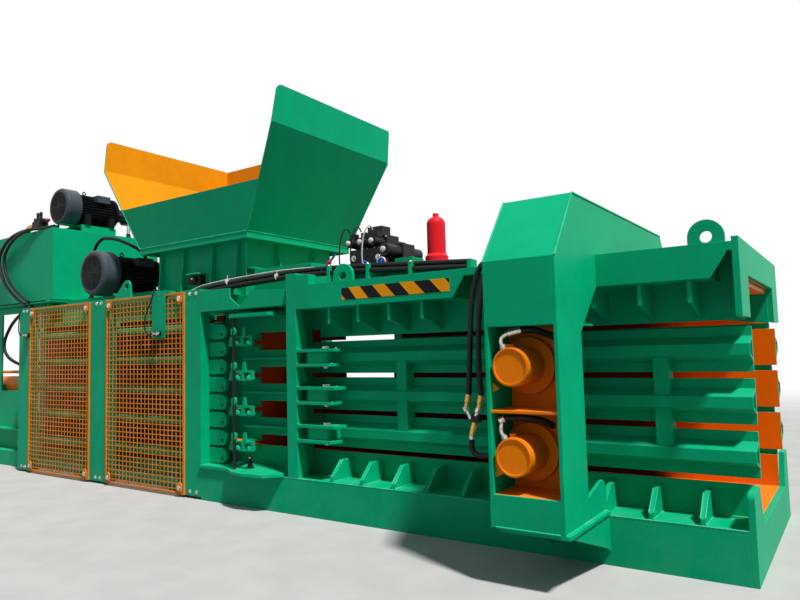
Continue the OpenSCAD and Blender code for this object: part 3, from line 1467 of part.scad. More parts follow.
module switch_lever(k) {
    x = switch_x[k];
    z = switch_z[k] + 23;
    y1 = -half_w - panel_t - 50 - fit;
    color("silver") {
        rod_y(x + 45, z, 12, y1 - 14, y1);
        block(x + 45, x + 125, y1 - 14, y1 - 8, z - 8, z + 8);
        rod_y(x + 125, z, 16, y1 - 20, y1 - 8);
    }
}

module switch_lever_left() { switch_lever(0); }
module switch_lever_right() { switch_lever(1); }

base_beam_front();
base_beam_rear();
channel_floor();
top_beam_front();
top_beam_rear();
channel_roof();
outlet_plate_lower();
outlet_plate_upper();
hinge_post_front();
hinge_post_rear();
squeeze_plate_inlet();
squeeze_plate_outlet();
hood_cover();
squeeze_foot();
cylinder_mount();
squeeze_barrels();
squeeze_rods();
top_barrel();
top_rod();
top_press_plate();
side_beam_upper();
side_beam_middle();
side_beam_lower();
side_wall_rear();
hinge_pins();
tying_wall_front();
tying_wall_rear();
tying_header();
lug_row();
wire_guides();
finger_shaft();
chamber_walls();
shear_beam();
guard_frame();
guard_mesh_left();
guard_mesh_right();
main_barrel();
main_rod();
ram_box();
rear_frame();
hopper_neck();
hopper();
deck();
oil_tank();
motor_upper();
motor_lower();
motor_fan_upper();
motor_fan_lower();
pumps();
valve_manifold();
handwheel();
accumulator();
lifting_eyes();
squeeze_hoses();
tank_hoses();
tank_valves();
top_pipes();
limit_switches();
switch_lever_left();
switch_lever_right();
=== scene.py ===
# Horizontal recycling baler: finishes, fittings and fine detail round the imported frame.
# Builders below take millimetres in the shared frame; make() turns them into metres.
import json
import math

import bmesh
import bpy
from mathutils import Matrix, Vector


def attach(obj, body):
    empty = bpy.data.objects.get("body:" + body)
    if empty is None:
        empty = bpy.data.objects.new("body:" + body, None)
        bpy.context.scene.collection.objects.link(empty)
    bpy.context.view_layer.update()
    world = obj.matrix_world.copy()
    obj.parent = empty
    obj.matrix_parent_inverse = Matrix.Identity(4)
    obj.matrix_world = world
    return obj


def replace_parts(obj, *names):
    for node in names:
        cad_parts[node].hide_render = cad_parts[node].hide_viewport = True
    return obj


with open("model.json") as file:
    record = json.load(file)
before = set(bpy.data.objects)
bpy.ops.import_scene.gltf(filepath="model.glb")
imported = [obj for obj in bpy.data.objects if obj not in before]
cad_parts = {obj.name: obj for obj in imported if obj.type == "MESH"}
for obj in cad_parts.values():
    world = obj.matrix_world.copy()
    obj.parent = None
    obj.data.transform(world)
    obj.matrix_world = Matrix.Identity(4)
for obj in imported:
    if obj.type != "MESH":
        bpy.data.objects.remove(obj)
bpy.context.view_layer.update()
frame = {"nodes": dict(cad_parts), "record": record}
nodes = frame["nodes"]
MM = 0.001

# Faces and rows of the machine that several pieces below meet, in millimetres
NEAR_FACE = -920
CHANNEL_HALF, CHANNEL_TOP = 602, 1670
BASE_TOP = 285
BEAM_ROWS = (645, 945, 1245)
SQUEEZE_PLATES = (3622, 4046)
GUARD_Z = (22, 1883)
SWITCHES = ((-2700, 1550), (-246, 1483))
COIL_X, COIL_STEP, COIL_Z = 1895, 118, 2180
GAUGE_X, GAUGE_Z = 2238, 1991
COIL_FACE, VALVE_FACE, BLOCK_FACE = -622, -470, -560
HOSE, THIN_CABLE = 38, 12
OUT, UP = (0, -1, 0), (0, 0, 1)

# Camera at the photograph's place, in metres, and its lens in millimetres
CAMERA_AT = (5.353, -4.917, 1.284)
CAMERA_RIGHT = (0.8227, 0.5682, -0.0255)
CAMERA_AHEAD = (-0.5649, 0.8215, 0.0755)
FOCAL_LENGTH, SENSOR_WIDTH = 30.154, 36.0
FARTHEST_SEEN = 200.0


def add_camera():
    lens = bpy.data.cameras.new("view_camera")
    lens.sensor_width = SENSOR_WIDTH
    lens.lens = FOCAL_LENGTH
    lens.clip_end = FARTHEST_SEEN
    camera = bpy.data.objects.new("view_camera", lens)
    right = Vector(CAMERA_RIGHT).normalized()
    ahead = Vector(CAMERA_AHEAD)
    ahead = (ahead - right * ahead.dot(right)).normalized()
    up = right.cross(ahead)
    axes = Matrix((right, up, -ahead)).transposed()
    camera.matrix_world = Matrix.Translation(CAMERA_AT) @ axes.to_4x4()
    bpy.context.scene.collection.objects.link(camera)
    bpy.context.scene.camera = camera


add_camera()


# Node groups that several finishes share
def new_group(name, inputs, outputs):
    group = bpy.data.node_groups.new(name, "ShaderNodeTree")
    for label, kind, value in inputs:
        socket = group.interface.new_socket(name=label, in_out="INPUT", socket_type=kind)
        socket.default_value = value
    for label, kind in outputs:
        group.interface.new_socket(name=label, in_out="OUTPUT", socket_type=kind)
    return group, group.nodes.new("NodeGroupInput"), group.nodes.new("NodeGroupOutput")


class Wiring:
    """Adds nodes to a tree and joins them, with plain values where no link is given."""

    def __init__(self, tree):
        self.tree = tree

    def put(self, socket, value):
        if isinstance(value, bpy.types.NodeSocket):
            self.tree.links.new(value, socket)
        elif value is not None:
            socket.default_value = value

    def node(self, kind, inputs=None, **settings):
        made = self.tree.nodes.new(kind)
        for name, value in settings.items():
            setattr(made, name, value)
        for key, value in (inputs or {}).items():
            self.put(made.inputs[key], value)
        return made

    def noise(self, where, scale, detail=3.0):
        """Scale is in cells per metre."""
        made = self.node("ShaderNodeTexNoise",
                         {"Vector": where, "Scale": scale, "Detail": detail, "Roughness": 0.55})
        return made.outputs["Fac"]

    def math(self, kind, a, b, clamp=False):
        made = self.node("ShaderNodeMath", operation=kind, use_clamp=clamp)
        for socket, value in zip(made.inputs, (a, b)):
            self.put(socket, value)
        return made.outputs[0]

    def grey(self, value):
        made = self.node("ShaderNodeCombineColor", {"Red": value, "Green": value, "Blue": value})
        return made.outputs[0]

    def softened(self, radius):
        return self.node("ShaderNodeBevel", {"Radius": radius}, samples=4).outputs["Normal"]

    def ramp(self, value, low, high, to_low=0.0, to_high=1.0):
        made = self.node("ShaderNodeMapRange", interpolation_type="SMOOTHSTEP")
        for key, item in (("Value", value), ("From Min", low), ("From Max", high),
                          ("To Min", to_low), ("To Max", to_high)):
            self.put(made.inputs[key], item)
        return made.outputs["Result"]

    def mix(self, share, a, b, blend="MIX"):
        made = self.node("ShaderNodeMix", data_type="RGBA", blend_type=blend)
        self.put(made.inputs["Factor"], share)
        self.put(made.inputs[6], a)
        self.put(made.inputs[7], b)
        return made.outputs[2]

    def stretched(self, where, x, y, z):
        made = self.node("ShaderNodeMapping", {"Vector": where})
        made.inputs["Scale"].default_value = (x, y, z)
        return made.outputs["Vector"]

    def place(self):
        return self.node("ShaderNodeTexCoord").outputs["Object"]

    def split(self, vector):
        return self.node("ShaderNodeSeparateXYZ", {"Vector": vector}).outputs

    def seen_straight(self, path):
        """One for rays from the camera or off a mirror, nothing for rays that carry light."""
        seen = self.math("ADD", path.outputs["Is Camera Ray"], path.outputs["Is Glossy Ray"])
        return self.math("ADD", seen, path.outputs["Is Transmission Ray"], clamp=True)


# Dirt on the painted sheet as linear colours, the heights of splash and the edges in metres
RUN_STAIN = (0.05, 0.07, 0.05, 1.0)
DUST_TONE = (0.42, 0.4, 0.34, 1.0)
SPLASH_TONE = (0.3, 0.28, 0.23, 1.0)
SPLASH_TOP, SPLASH_FOOT = 0.42, 0.02
SHEET_EDGE, METAL_EDGE = 0.006, 0.002


def build_sheet_wear():
    """Sprayed paint on welded sheet: random tone drift, runs, dust on top, splash dirt, and edges
    lightened as a painted highlight.
    """
    group, given, result = new_group(
        "sheet_wear",
        [("Paint", "NodeSocketColor", (0.0, 0.3, 0.15, 1.0)),
         ("Edge Highlight", "NodeSocketColor", (0.2, 0.6, 0.45, 1.0)),
         ("Dust", "NodeSocketFloat", 0.25),
         ("Splash", "NodeSocketFloat", 0.3),
         ("Gloss", "NodeSocketFloat", 0.38)],
        [("Color", "NodeSocketColor"), ("Roughness", "NodeSocketFloat"),
         ("Height", "NodeSocketFloat"), ("Normal", "NodeSocketVector")])
    w = Wiring(group)
    where = w.place()
    height = w.split(where)[2]
    soft = w.softened(SHEET_EDGE)
    flat = w.node("ShaderNodeNewGeometry").outputs["True Normal"]
    up = w.split(flat)[2]
    # Drift as wide as a sheet, patches as wide as a hand, grit, and runs down the walls
    cloud = w.noise(where, 0.9)
    mottle = w.noise(where, 7.0, 4.0)
    grit = w.noise(where, 55.0, 2.0)
    runs = w.noise(w.stretched(where, 11.0, 11.0, 0.7), 1.0, 3.0)
    shade = w.ramp(w.math("ADD", cloud, w.math("MULTIPLY", mottle, 0.6)), 0.55, 1.05, 0.9, 1.06)
    drifted = w.mix(1.0, given.outputs["Paint"], w.grey(shade), "MULTIPLY")
    run_mask = w.math("MULTIPLY", w.ramp(runs, 0.56, 0.74), 0.08)
    streaked = w.mix(run_mask, drifted, RUN_STAIN)
    # Edges, where the softened normal turns from the true one, lighten towards the edge colour: a
    # painted highlight
    facing = w.node("ShaderNodeVectorMath", {0: soft, 1: flat},
                    operation="DOT_PRODUCT").outputs["Value"]
    edge = w.ramp(w.math("MULTIPLY", w.ramp(facing, 0.995, 0.9), w.ramp(mottle, 0.42, 0.62)),
                  0.1, 0.9, 0.0, 0.65)
    edge_highlighted = w.mix(edge, streaked, given.outputs["Edge Highlight"])
    dust_mask = w.math("MULTIPLY", w.math("MULTIPLY", w.ramp(up, 0.55, 0.95),
                                          w.ramp(mottle, 0.35, 0.7)), given.outputs["Dust"])
    dusty = w.mix(dust_mask, edge_highlighted, DUST_TONE)
    low = w.math("MULTIPLY", w.ramp(height, SPLASH_TOP, SPLASH_FOOT),
                 w.ramp(mottle, 0.38, 0.66))
    splashed = w.mix(w.math("MULTIPLY", low, given.outputs["Splash"]), dusty, SPLASH_TONE)
    rough = w.math("ADD", given.outputs["Gloss"], w.math("MULTIPLY", w.math(
        "ADD", dust_mask, w.math("MULTIPLY", mottle, 0.25)), 0.5), clamp=True)
    w.put(result.inputs["Color"], splashed)
    w.put(result.inputs["Roughness"], rough)
    w.put(result.inputs["Height"], w.math("ADD", w.math("MULTIPLY", mottle, 0.6),
                                          w.math("MULTIPLY", grit, 0.25)))
    w.put(result.inputs["Normal"], soft)
    return group


def build_metal_wear():
    """Turned, plated or cast metal: fine marks, oil film and dull patches."""
    group, given, result = new_group(
        "metal_wear",
        [("Metal", "NodeSocketColor", (0.6, 0.6, 0.6, 1.0)),
         ("Film", "NodeSocketColor", (0.1, 0.09, 0.07, 1.0)),
         ("Patch", "NodeSocketFloat", 0.3),
         ("Gloss", "NodeSocketFloat", 0.3),
         ("Scale", "NodeSocketFloat", 30.0)],
        [("Color", "NodeSocketColor"), ("Roughness", "NodeSocketFloat"),
         ("Height", "NodeSocketFloat"), ("Normal", "NodeSocketVector")])
    w = Wiring(group)
    where = w.place()
    soft = w.softened(METAL_EDGE)
    patch = w.ramp(w.noise(where, given.outputs["Scale"], 4.0), 0.45, 0.68)
    fine = w.noise(where, 180.0, 2.0)
    w.put(result.inputs["Color"], w.mix(w.math("MULTIPLY", patch, given.outputs["Patch"]),
                                        given.outputs["Metal"], given.outputs["Film"]))
    w.put(result.inputs["Roughness"], w.math("ADD", given.outputs["Gloss"], w.math(
        "MULTIPLY", w.math("ADD", patch, fine), 0.14), clamp=True))
    w.put(result.inputs["Height"], fine)
    w.put(result.inputs["Normal"], soft)
    return group


SHEET_WEAR = build_sheet_wear()
METAL_WEAR = build_metal_wear()


def srgb(r, g, b):
    """A colour written 0 to 255 as the eye reads it, as a linear colour."""
    return tuple((c / 255 / 12.92) if c <= 10 else ((c / 255 + 0.055) / 1.055) ** 2.4
                 for c in (r, g, b)) + (1.0,)


# Strength of the bumps and their depth in metres, and how far each kind shines
SHEET_BUMP, METAL_BUMP = (0.25, 0.002), (0.15, 0.001)
PAINT_SHINE, BLACK_SHINE, METAL_SHINE = 0.1, 0.25, 0.5


def finish_from(name, group, values, bump, shine, metallic=0.0):
    material = bpy.data.materials.new(name)
    material.use_nodes = True
    tree = material.node_tree
    tree.nodes.clear()
    w = Wiring(tree)
    wear = w.node("ShaderNodeGroup", node_tree=group)
    for key, value in values.items():
        wear.inputs[key].default_value = value
    bumped = w.node("ShaderNodeBump", {"Strength": bump[0], "Distance": bump[1],
                                       "Height": wear.outputs["Height"],
                                       "Normal": wear.outputs["Normal"]})
    shader = w.node("ShaderNodeBsdfPrincipled", {
        "Base Color": wear.outputs["Color"], "Roughness": wear.outputs["Roughness"],
        "Normal": bumped.outputs["Normal"], "Metallic": metallic,
        "Specular IOR Level": shine})
    w.node("ShaderNodeOutputMaterial", {"Surface": shader.outputs["BSDF"]})
    return material


# The edge colour is a lighter tint laid along the edges as a painted highlight
def paint(name, colour, edge, dust=0.25, splash=0.3, gloss=0.36):
    return finish_from(name, SHEET_WEAR, {"Paint": srgb(*colour), "Edge Highlight": srgb(*edge),
                                          "Dust": dust, "Splash": splash, "Gloss": gloss},
                       SHEET_BUMP, PAINT_SHINE)


def metal(name, colour, film, patch, gloss, scale=30.0, metallic=1.0):
    """Metal with an oily film; with nothing metallic, black rubber, plastic or castings."""
    return finish_from(name, METAL_WEAR, {"Metal": srgb(*colour), "Film": srgb(*film),
                                          "Patch": patch, "Gloss": gloss, "Scale": scale},
                       METAL_BUMP, METAL_SHINE if metallic else BLACK_SHINE, metallic)


GREEN = paint("green_paint", (0, 174, 124), (30, 205, 155), dust=0.03, splash=0.05, gloss=0.45)
# A lighter copy of the green paint: a painted highlight for weld beads, seams, caps and lids
GREEN_LIT = paint("green_paint_lit", (30, 190, 146), (120, 220, 190), dust=0.05)
ORANGE = paint("orange_paint", (252, 136, 8), (255, 180, 90), dust=0.04, gloss=0.34)
AMBER = paint("amber_hopper_paint", (232, 148, 10), (255, 205, 110), dust=0.06)
# The red-orange paint gets painted shade over the channel's inside, laid on below
RED_ORANGE = paint("red_orange_wall_paint_shaded", (244, 118, 4), (248, 165, 60), dust=0.04)

# Painted shade inside the channel: its dark tone, and where along the channel it gives way to the
# plain paint, in metres
CHANNEL_SHADE_TONE = srgb(74, 28, 8)
FADE_FROM, FADE_TO, FADE_WANDER = 4.1, 4.5, 0.4


def paint_channel_shade(material):
    """Painted shade: the channel's inside darkened, giving way to the plain paint towards the
    outlet.
    """
    w = Wiring(material.node_tree)
    wear = next(n for n in material.node_tree.nodes if n.type == "GROUP")
    where = w.place()
    wander = w.math("MULTIPLY", w.noise(where, 5.0), FADE_WANDER)
    along = w.math("ADD", w.split(where)[0], wander)
    unshaded_paint = tuple(wear.inputs["Paint"].default_value)
    w.put(wear.inputs["Paint"], w.mix(w.ramp(along, FADE_FROM, FADE_TO), CHANNEL_SHADE_TONE, unshaded_paint))


# The red-orange wall paint carries painted shade along the channel's inside
paint_channel_shade(RED_ORANGE)
STRAND = paint("orange_mesh_paint", (232, 138, 36), (255, 170, 90), dust=0.0, gloss=0.42)
SLATE = paint("slate_motor_paint", (74, 82, 92), (130, 140, 150), dust=0.2, gloss=0.42)
BLACK_PAINT = paint("black_motor_paint", (24, 26, 30), (70, 75, 82), dust=0.15, gloss=0.45)
PIPE_DARK = paint("dark_casting_paint", (38, 40, 42), (90, 92, 95), dust=0.2, gloss=0.4)
CRIMSON = paint("crimson_bottle_paint", (252, 38, 50), (245, 110, 110), dust=0.03, gloss=0.3)
RED_CAP = paint("red_cap_plastic", (214, 42, 40), (240, 120, 110), dust=0.05, gloss=0.4)
BLUE = paint("blue_wheel_plastic", (28, 92, 190), (90, 150, 220), dust=0.05, gloss=0.35)
BLACK_STRIPE = paint("black_stripe_paint", (20, 20, 20), (60, 60, 60), dust=0.1)
ORANGE_STRIPE = paint("orange_stripe_paint", (255, 166, 16), (255, 200, 110), dust=0.03)
WHITE_PLASTIC = paint("white_plastic", (225, 222, 215), (240, 238, 232), dust=0.1, gloss=0.4)
RUBBER = metal("black_hose_rubber", (17, 17, 19), (42, 41, 39), 0.4, 0.46, 24.0, metallic=0.0)
VALVE_BLACK = metal("black_valve_casting", (22, 23, 26), (50, 49, 47), 0.4, 0.36, 40.0,
                    metallic=0.0)
FAN_BLACK = metal("black_fan_plastic", (26, 27, 29), (60, 58, 55), 0.4, 0.5, metallic=0.0)
ZINC = metal("zinc_fitting", (205, 205, 200), (120, 110, 92), 0.4, 0.22, 60.0)
BRASS = metal("yellow_passivated_fitting", (196, 160, 92), (120, 92, 50), 0.4, 0.28, 60.0)
STEEL = metal("bare_steel", (170, 168, 163), (96, 84, 70), 0.45, 0.3)
CHROME = metal("chrome_rod", (222, 222, 224), (130, 128, 122), 0.15, 0.08, 12.0)
BRAID = metal("braided_hose_cover", (196, 192, 180), (120, 116, 104), 0.5, 0.4, 90.0, metallic=0.6)

SLOT_FINISH = {
    "green_paint": GREEN, "orange_paint": ORANGE, "motor_grey": SLATE, "bare_steel": STEEL,
    "rod_chrome": CHROME, "black_rubber": RUBBER, "valve_black": VALVE_BLACK,
    "fan_black": FAN_BLACK, "blue_wheel": BLUE, "red_paint": CRIMSON}


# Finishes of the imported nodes
def dress(name, materials, rule=None):
    """Gives a node its finishes; rule(middle of a face in mm, its normal) picks one of them."""
    mesh = nodes[name].data
    mesh.materials.clear()
    for material in materials:
        mesh.materials.append(material)
    for face in mesh.polygons:
        face.material_index = rule(face.center / MM, face.normal) if rule else 0


for part in frame["record"]["subparts"]:
    dress(part["node"], [SLOT_FINISH[part["material_slot"]]])


# Where the parts of one node meet, in millimetres
CHANNEL_LOW, CHAMBER_LOW, CHAMBER_SKIN = 250, 254, 621
HOPPER_RIM, NECK_X, NECK_Y = 3634, 640, 590
BOTTLE_FOOT_X, BOTTLE_FOOT_Y, STAND_TOP = (2364, 2531), -460, 1920
BENCH_TOP, SWITCH_PLATE = 2989, -943
CAPS_X, CAPS_REACH, CAPS_Z = -3420, 183, 3088
ELBOW_X, ELBOW_Z = -3585, 2990
FINGER_X, FINGER_Y, FINGER_SHAFT_R = 855, -940, 15


# Each rule has the middle of a face in millimetres and its normal, and picks a finish
def faces_channel(c, n):
    """Faces of the beams and walls that look into the channel."""
    inward = abs(c.y) < CHANNEL_HALF and n.y * c.y < -0.5 * abs(c.y)
    return 1 if inward and CHANNEL_LOW < c.z < CHANNEL_TOP else 0


def under_roof(c, n):
    return 1 if n.z < -0.5 and c.z < CHANNEL_TOP else 0


def outside_chamber(c, n):
    return 1 if abs(c.y) > CHAMBER_SKIN or c.z < CHAMBER_LOW else 0


def inside_hopper(c, n):
    """Faces that look to the hopper's middle, but not its top edge."""
    return 1 if n.x * c.x + n.y * c.y < -20 and c.z < HOPPER_RIM else 0


def inside_neck(c, n):
    return 1 if abs(c.x) < NECK_X and abs(c.y) < NECK_Y and c.z > CHANNEL_TOP else 0


def manifold_rule(c, n):
    """Black valves, the green foot of the bottle beside them, and a dark stand below."""
    over_foot = BOTTLE_FOOT_X[0] < c.x < BOTTLE_FOOT_X[1] and c.y < BOTTLE_FOOT_Y
    if over_foot and c.z > STAND_TOP - 0.5:
        return 1
    return 2 if c.z < STAND_TOP else 0


def motor_rule(x, y0, z, r):
    """For a motor along Y: a slate cowl shell and terminal box, the rest black."""
    cowl_end, grille, fins, box = y0 + 0.8 * r + 1, r * 0.78, r * 0.86, r * 0.4

    def rule(c, n):
        reach = math.hypot(c.x - x, c.z - z)
        if c.y < cowl_end:
            return 0 if reach > grille else 1
        if reach < fins:
            return 1
        return 0 if c.z > z + box and c.x > x else 1
    return rule


lower_motor_rule = motor_rule(-1554, -820, 2221, 250)
upper_motor_rule = motor_rule(-2907, -470, 3213, 234)


def upper_with_bench(c, n):
    return 2 if c.z < BENCH_TOP else upper_motor_rule(c, n)


def tank_valve_rule(c, n):
    """Red caps at both ends of the row, and the yellow upper half of its elbow pipe."""
    if abs(abs(c.x - CAPS_X) - CAPS_REACH) < 14 and abs(c.z - CAPS_Z) < 24:
        return 1
    return 2 if c.x < ELBOW_X and c.z > ELBOW_Z else 0


def switch_rule(c, n):
    """The plates that carry the switches are green."""
    return 1 if c.y > SWITCH_PLATE else 0


def finger_rule(c, n):
    """Green fingers on a shaft painted dark as painted shade."""
    return 1 if math.hypot(c.x - FINGER_X, c.y - FINGER_Y) > FINGER_SHAFT_R else 0


# Faces into the channel take the red-orange paint that carries the painted shade
for name in ("base_beam_front", "base_beam_rear", "top_beam_front", "top_beam_rear",
             "side_beam_upper", "side_beam_middle", "side_beam_lower", "side_wall_rear",
             "tying_wall_front", "tying_wall_rear"):
    dress(name, [GREEN, RED_ORANGE], faces_channel)
dress("channel_roof", [GREEN, RED_ORANGE], under_roof)
dress("chamber_walls", [RED_ORANGE, GREEN], outside_chamber)
dress("hopper", [GREEN, AMBER], inside_hopper)
dress("hopper_neck", [GREEN, AMBER], inside_neck)
dress("valve_manifold", [VALVE_BLACK, GREEN, PIPE_DARK], manifold_rule)
dress("motor_lower", [SLATE, BLACK_PAINT], lower_motor_rule)
dress("motor_upper", [SLATE, BLACK_PAINT, GREEN], upper_with_bench)
dress("pumps", [PIPE_DARK])
dress("tank_valves", [PIPE_DARK, RED_CAP, BRASS], tank_valve_rule)
dress("limit_switches", [VALVE_BLACK, GREEN], switch_rule)
# The finger shaft is painted dark: painted shade
dress("finger_shaft", [PIPE_DARK, GREEN], finger_rule)


# Builder of the scene's own pieces: edges above so many degrees stay sharp
SHARP = 38
WASHER = 3
WELD_STEP, WELD_SIDES, WELD_BEAD = 14, 6, 0.35


class Shape:
    """Collects faces in millimetres, each with the finish picked at the time."""

    def __init__(self, *finishes):
        self.finishes = list(finishes)
        self.points = []
        self.faces = []
        self.picks = []
        self.pick = 0

    def use(self, finish):
        """Faces added from here on get this finish."""
        self.pick = self.finishes.index(finish)

    def add(self, points, faces):
        base = len(self.points)
        self.points += [Vector(p) for p in points]
        self.faces += [[base + i for i in face] for face in faces]
        self.picks += [self.pick] * len(faces)

    def box(self, x0, x1, y0, y1, z0, z1):
        self.prism([(x0, y0), (x1, y0), (x1, y1), (x0, y1)], "z", z0, z1)

    def prism(self, outline, along, low, high):
        """Outline is (x, z) along "y", or (x, y) along "z"."""
        n = len(outline)
        points = [(a, level, b) if along == "y" else (a, b, level)
                  for level in (low, high) for a, b in outline]
        faces = [list(range(n))[::-1], [n + i for i in range(n)]]
        faces += [[i, (i + 1) % n, n + (i + 1) % n, n + i] for i in range(n)]
        self.add(points, faces)

    def lathe(self, start, end, profile, sides):
        """Profile is (distance from start along the axis, radius)."""
        start, end = Vector(start), Vector(end)
        axis = (end - start).normalized()
        u = axis.orthogonal().normalized()
        v = axis.cross(u)
        turns = [u * math.cos(math.tau * k / sides) + v * math.sin(math.tau * k / sides)
                 for k in range(sides)]
        self.join([[start + axis * along + turn * radius for turn in turns]
                   for along, radius in profile])

    def join(self, rings):
        """Joins rings of equal count one after another and closes both ends."""
        n = len(rings[0])
        faces = [list(range(n))[::-1], [(len(rings) - 1) * n + k for k in range(n)]]
        for i in range(len(rings) - 1):
            faces += [[i * n + k, i * n + (k + 1) % n, (i + 1) * n + (k + 1) % n, (i + 1) * n + k]
                      for k in range(n)]
        self.add([p for ring in rings for p in ring], faces)

    def rod(self, start, end, radius, sides=16):
        """Round bar with its two edges eased."""
        length = (Vector(end) - Vector(start)).length
        ease = min(radius * 0.18, length * 0.2)
        self.lathe(start, end, [(0, radius - ease), (ease, radius), (length - ease, radius),
                                (length, radius - ease)], sides)

    def tube(self, route, radius, sides, bead=0.0):
        """Round tube through the route; bead swells it from point to point, as a weld does."""
        route = [Vector(p) for p in route]
        side = None
        rings = []
        for i, point in enumerate(route):
            ahead = (route[min(i + 1, len(route) - 1)] - route[max(i - 1, 0)]).normalized()
            side = ahead.orthogonal() if side is None else side - ahead * side.dot(ahead)
            side.normalize()
            across = ahead.cross(side)
            reach = radius * (1 + bead * (i % 2))
            rings.append([point + (side * math.cos(math.tau * k / sides)
                                   + across * math.sin(math.tau * k / sides)) * reach
                          for k in range(sides)])
        self.join(rings)

    def weld(self, start, end, radius=5.0):
        start, end = Vector(start), Vector(end)
        steps = max(2, int((end - start).length / WELD_STEP))
        self.tube([start.lerp(end, i / steps) for i in range(steps + 1)], radius,
                  WELD_SIDES, WELD_BEAD)

    def bolt(self, at, out, across, high):
        """Hexagon head on its washer, standing out along the direction given."""
        at, out = Vector(at), Vector(out).normalized()
        self.rod(at, at + out * WASHER, across * 0.95)
        at = at + out * WASHER
        corner = across * 0.58
        self.lathe(at, at + out * high, [(0, corner), (high * 0.8, corner),
                                         (high, across * 0.5)], 6)

    def make(self, name):
        """The collected faces as one piece that rides on the frame."""
        mesh = bpy.data.meshes.new(name)
        mesh.from_pydata([p * MM for p in self.points], [], self.faces)
        for finish in self.finishes:
            mesh.materials.append(finish)
        for face, pick in zip(mesh.polygons, self.picks):
            face.material_index = pick
        outward = bmesh.new()
        outward.from_mesh(mesh)
        bmesh.ops.recalc_face_normals(outward, faces=outward.faces)
        outward.to_mesh(mesh)
        outward.free()
        for face in mesh.polygons:
            face.use_smooth = True
        mesh.set_sharp_from_angle(angle=math.radians(SHARP))
        piece = bpy.data.objects.new(name, mesh)
        bpy.context.scene.collection.objects.link(piece)
        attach(piece, "frame")
        return piece


def flowing(route, steps=6):
    """A smooth line through the route's points."""
    route = [Vector(p) for p in route]
    out = []
    for i in range(len(route) - 1):
        a, b = route[max(i - 1, 0)], route[i]
        c, d = route[i + 1], route[min(i + 2, len(route) - 1)]
        for k in range(steps):
            t = k / steps
            out.append(0.5 * (2 * b + (c - a) * t + (2 * a - 5 * b + 4 * c - d) * t * t
                              + (3 * b - a - 3 * c + d) * t ** 3))
    return out + [route[-1]]


def hose(name, route, diameter=HOSE, finish=RUBBER):
    """A hose or cable that runs from one place on the machine to another."""
    line = flowing(route)
    shape = Shape(finish)
    shape.tube(line, diameter / 2, 14 if diameter >= HOSE else 8)
    piece = shape.make(name)
    path = [tuple(p * MM) for p in line]
    length = sum((b - a).length for a, b in zip(line, line[1:])) * MM
    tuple(path[0])
    return piece


# Hoses, in the routes of the source. Their places, and those of the fittings below, were read
# from the photograph with the fitted camera
DROP_A_END, DROP_B_END, DROP_LOW_START = (3181, -985, 985), (3277, -990, 980), (3196, -988, 690)
SUCTION_START, DRAIN_END = (-2816, 535, 3213), (-1298, -310, 2412)
squeeze_upper = hose("squeeze_hose_upper", [
    (3730, -1513, 1363), (3801, -1490, 1380), (3845, -1465, 1381), (3880, -1440, 1374),
    (3950, -1380, 1340)])
hose("squeeze_hose_lower", [
    (3695, -1514, 896), (3740, -1506, 901), (3800, -1490, 900), (3880, -1440, 885),
    (3930, -1390, 850)])
hose("dropping_hose_a", [
    (3560, -760, 1862), (3450, -900, 1885), (3350, -975, 1860), (3282, -985, 1795),
    (3226, -985, 1595), (3202, -985, 1278), DROP_A_END])
hose("dropping_hose_b", [
    (3570, -700, 1862), (3480, -870, 1885), (3385, -975, 1845), (3308, -990, 1696),
    (3272, -990, 1382), (3268, -990, 1131), DROP_B_END])
hose("dropping_hose_low", [
    DROP_LOW_START, (3194, -988, 640), (3210, -988, 606), (3250, -989, 590),
    (3310, -992, 592), (3450, -1010, 620), (3570, -1080, 676), (3620, -1106, 694),
    (3657, -1110, 695)])
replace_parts(squeeze_upper, "squeeze_hoses")
tank_a = hose("tank_hose_a", [
    (-2560, -700, 2887.3), (-2790, -715, 2887.3), (-3161, -765, 2888), (-3506, -775, 2820),
    (-3716, -775, 2665), (-3735, -775, 2490), (-3590, -775, 2256), (-3310, -775, 2062),
    (-3060, -770, 1945)])
hose("tank_hose_b", [
    (-2560, -655, 2887.3), (-2740, -670, 2887.3), (-3060, -768, 2884), (-3390, -778, 2800),
    (-3590, -778, 2650), (-3610, -778, 2490), (-3470, -778, 2270), (-3230, -778, 2100),
    (-2990, -772, 1985)])
hose("ram_hose", [
    (-3060, -700, 1968.7), (-3060, -700, 1950), (-3062, -700, 1930), (-3180, -700, 1905),
    (-3356, -700, 1851), (-3591, -700, 1709), (-3741, -700, 1494), (-3622, -690, 1316),
    (-3400, -560, 1190), (-3200, -330, 1110), (-3060, -190, 1029), (-3040, -105.4, 990.7)])
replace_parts(tank_a, "tank_hoses")
TOP_ROUTE = [(120, 1880), (600, 1912), (990, 1930), (1400, 1942), (1800, 1936), (2200, 1920),
             (2600, 1896), (3100, 1866)]
top_hoses = [hose("top_hose_" + label, [(x, y, z + rise) for x, z in TOP_ROUTE])
             for label, y, rise in (("near", -752, 0), ("far", -706, 0), ("upper", -729, 40))]
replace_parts(top_hoses[0], "top_pipes")

# Clamps over the top hoses, each with two bolts
clamps = Shape(GREEN, ZINC)
for x, z in TOP_ROUTE[4:]:
    clamps.use(GREEN)
    clamps.box(x - 15, x + 15, -776, -682, 1835, z + 50)
    clamps.use(ZINC)
    for y in (-764, -694):
        clamps.bolt((x, y, z + 50), UP, 16, 8)
clamps.make("hose_clamps")

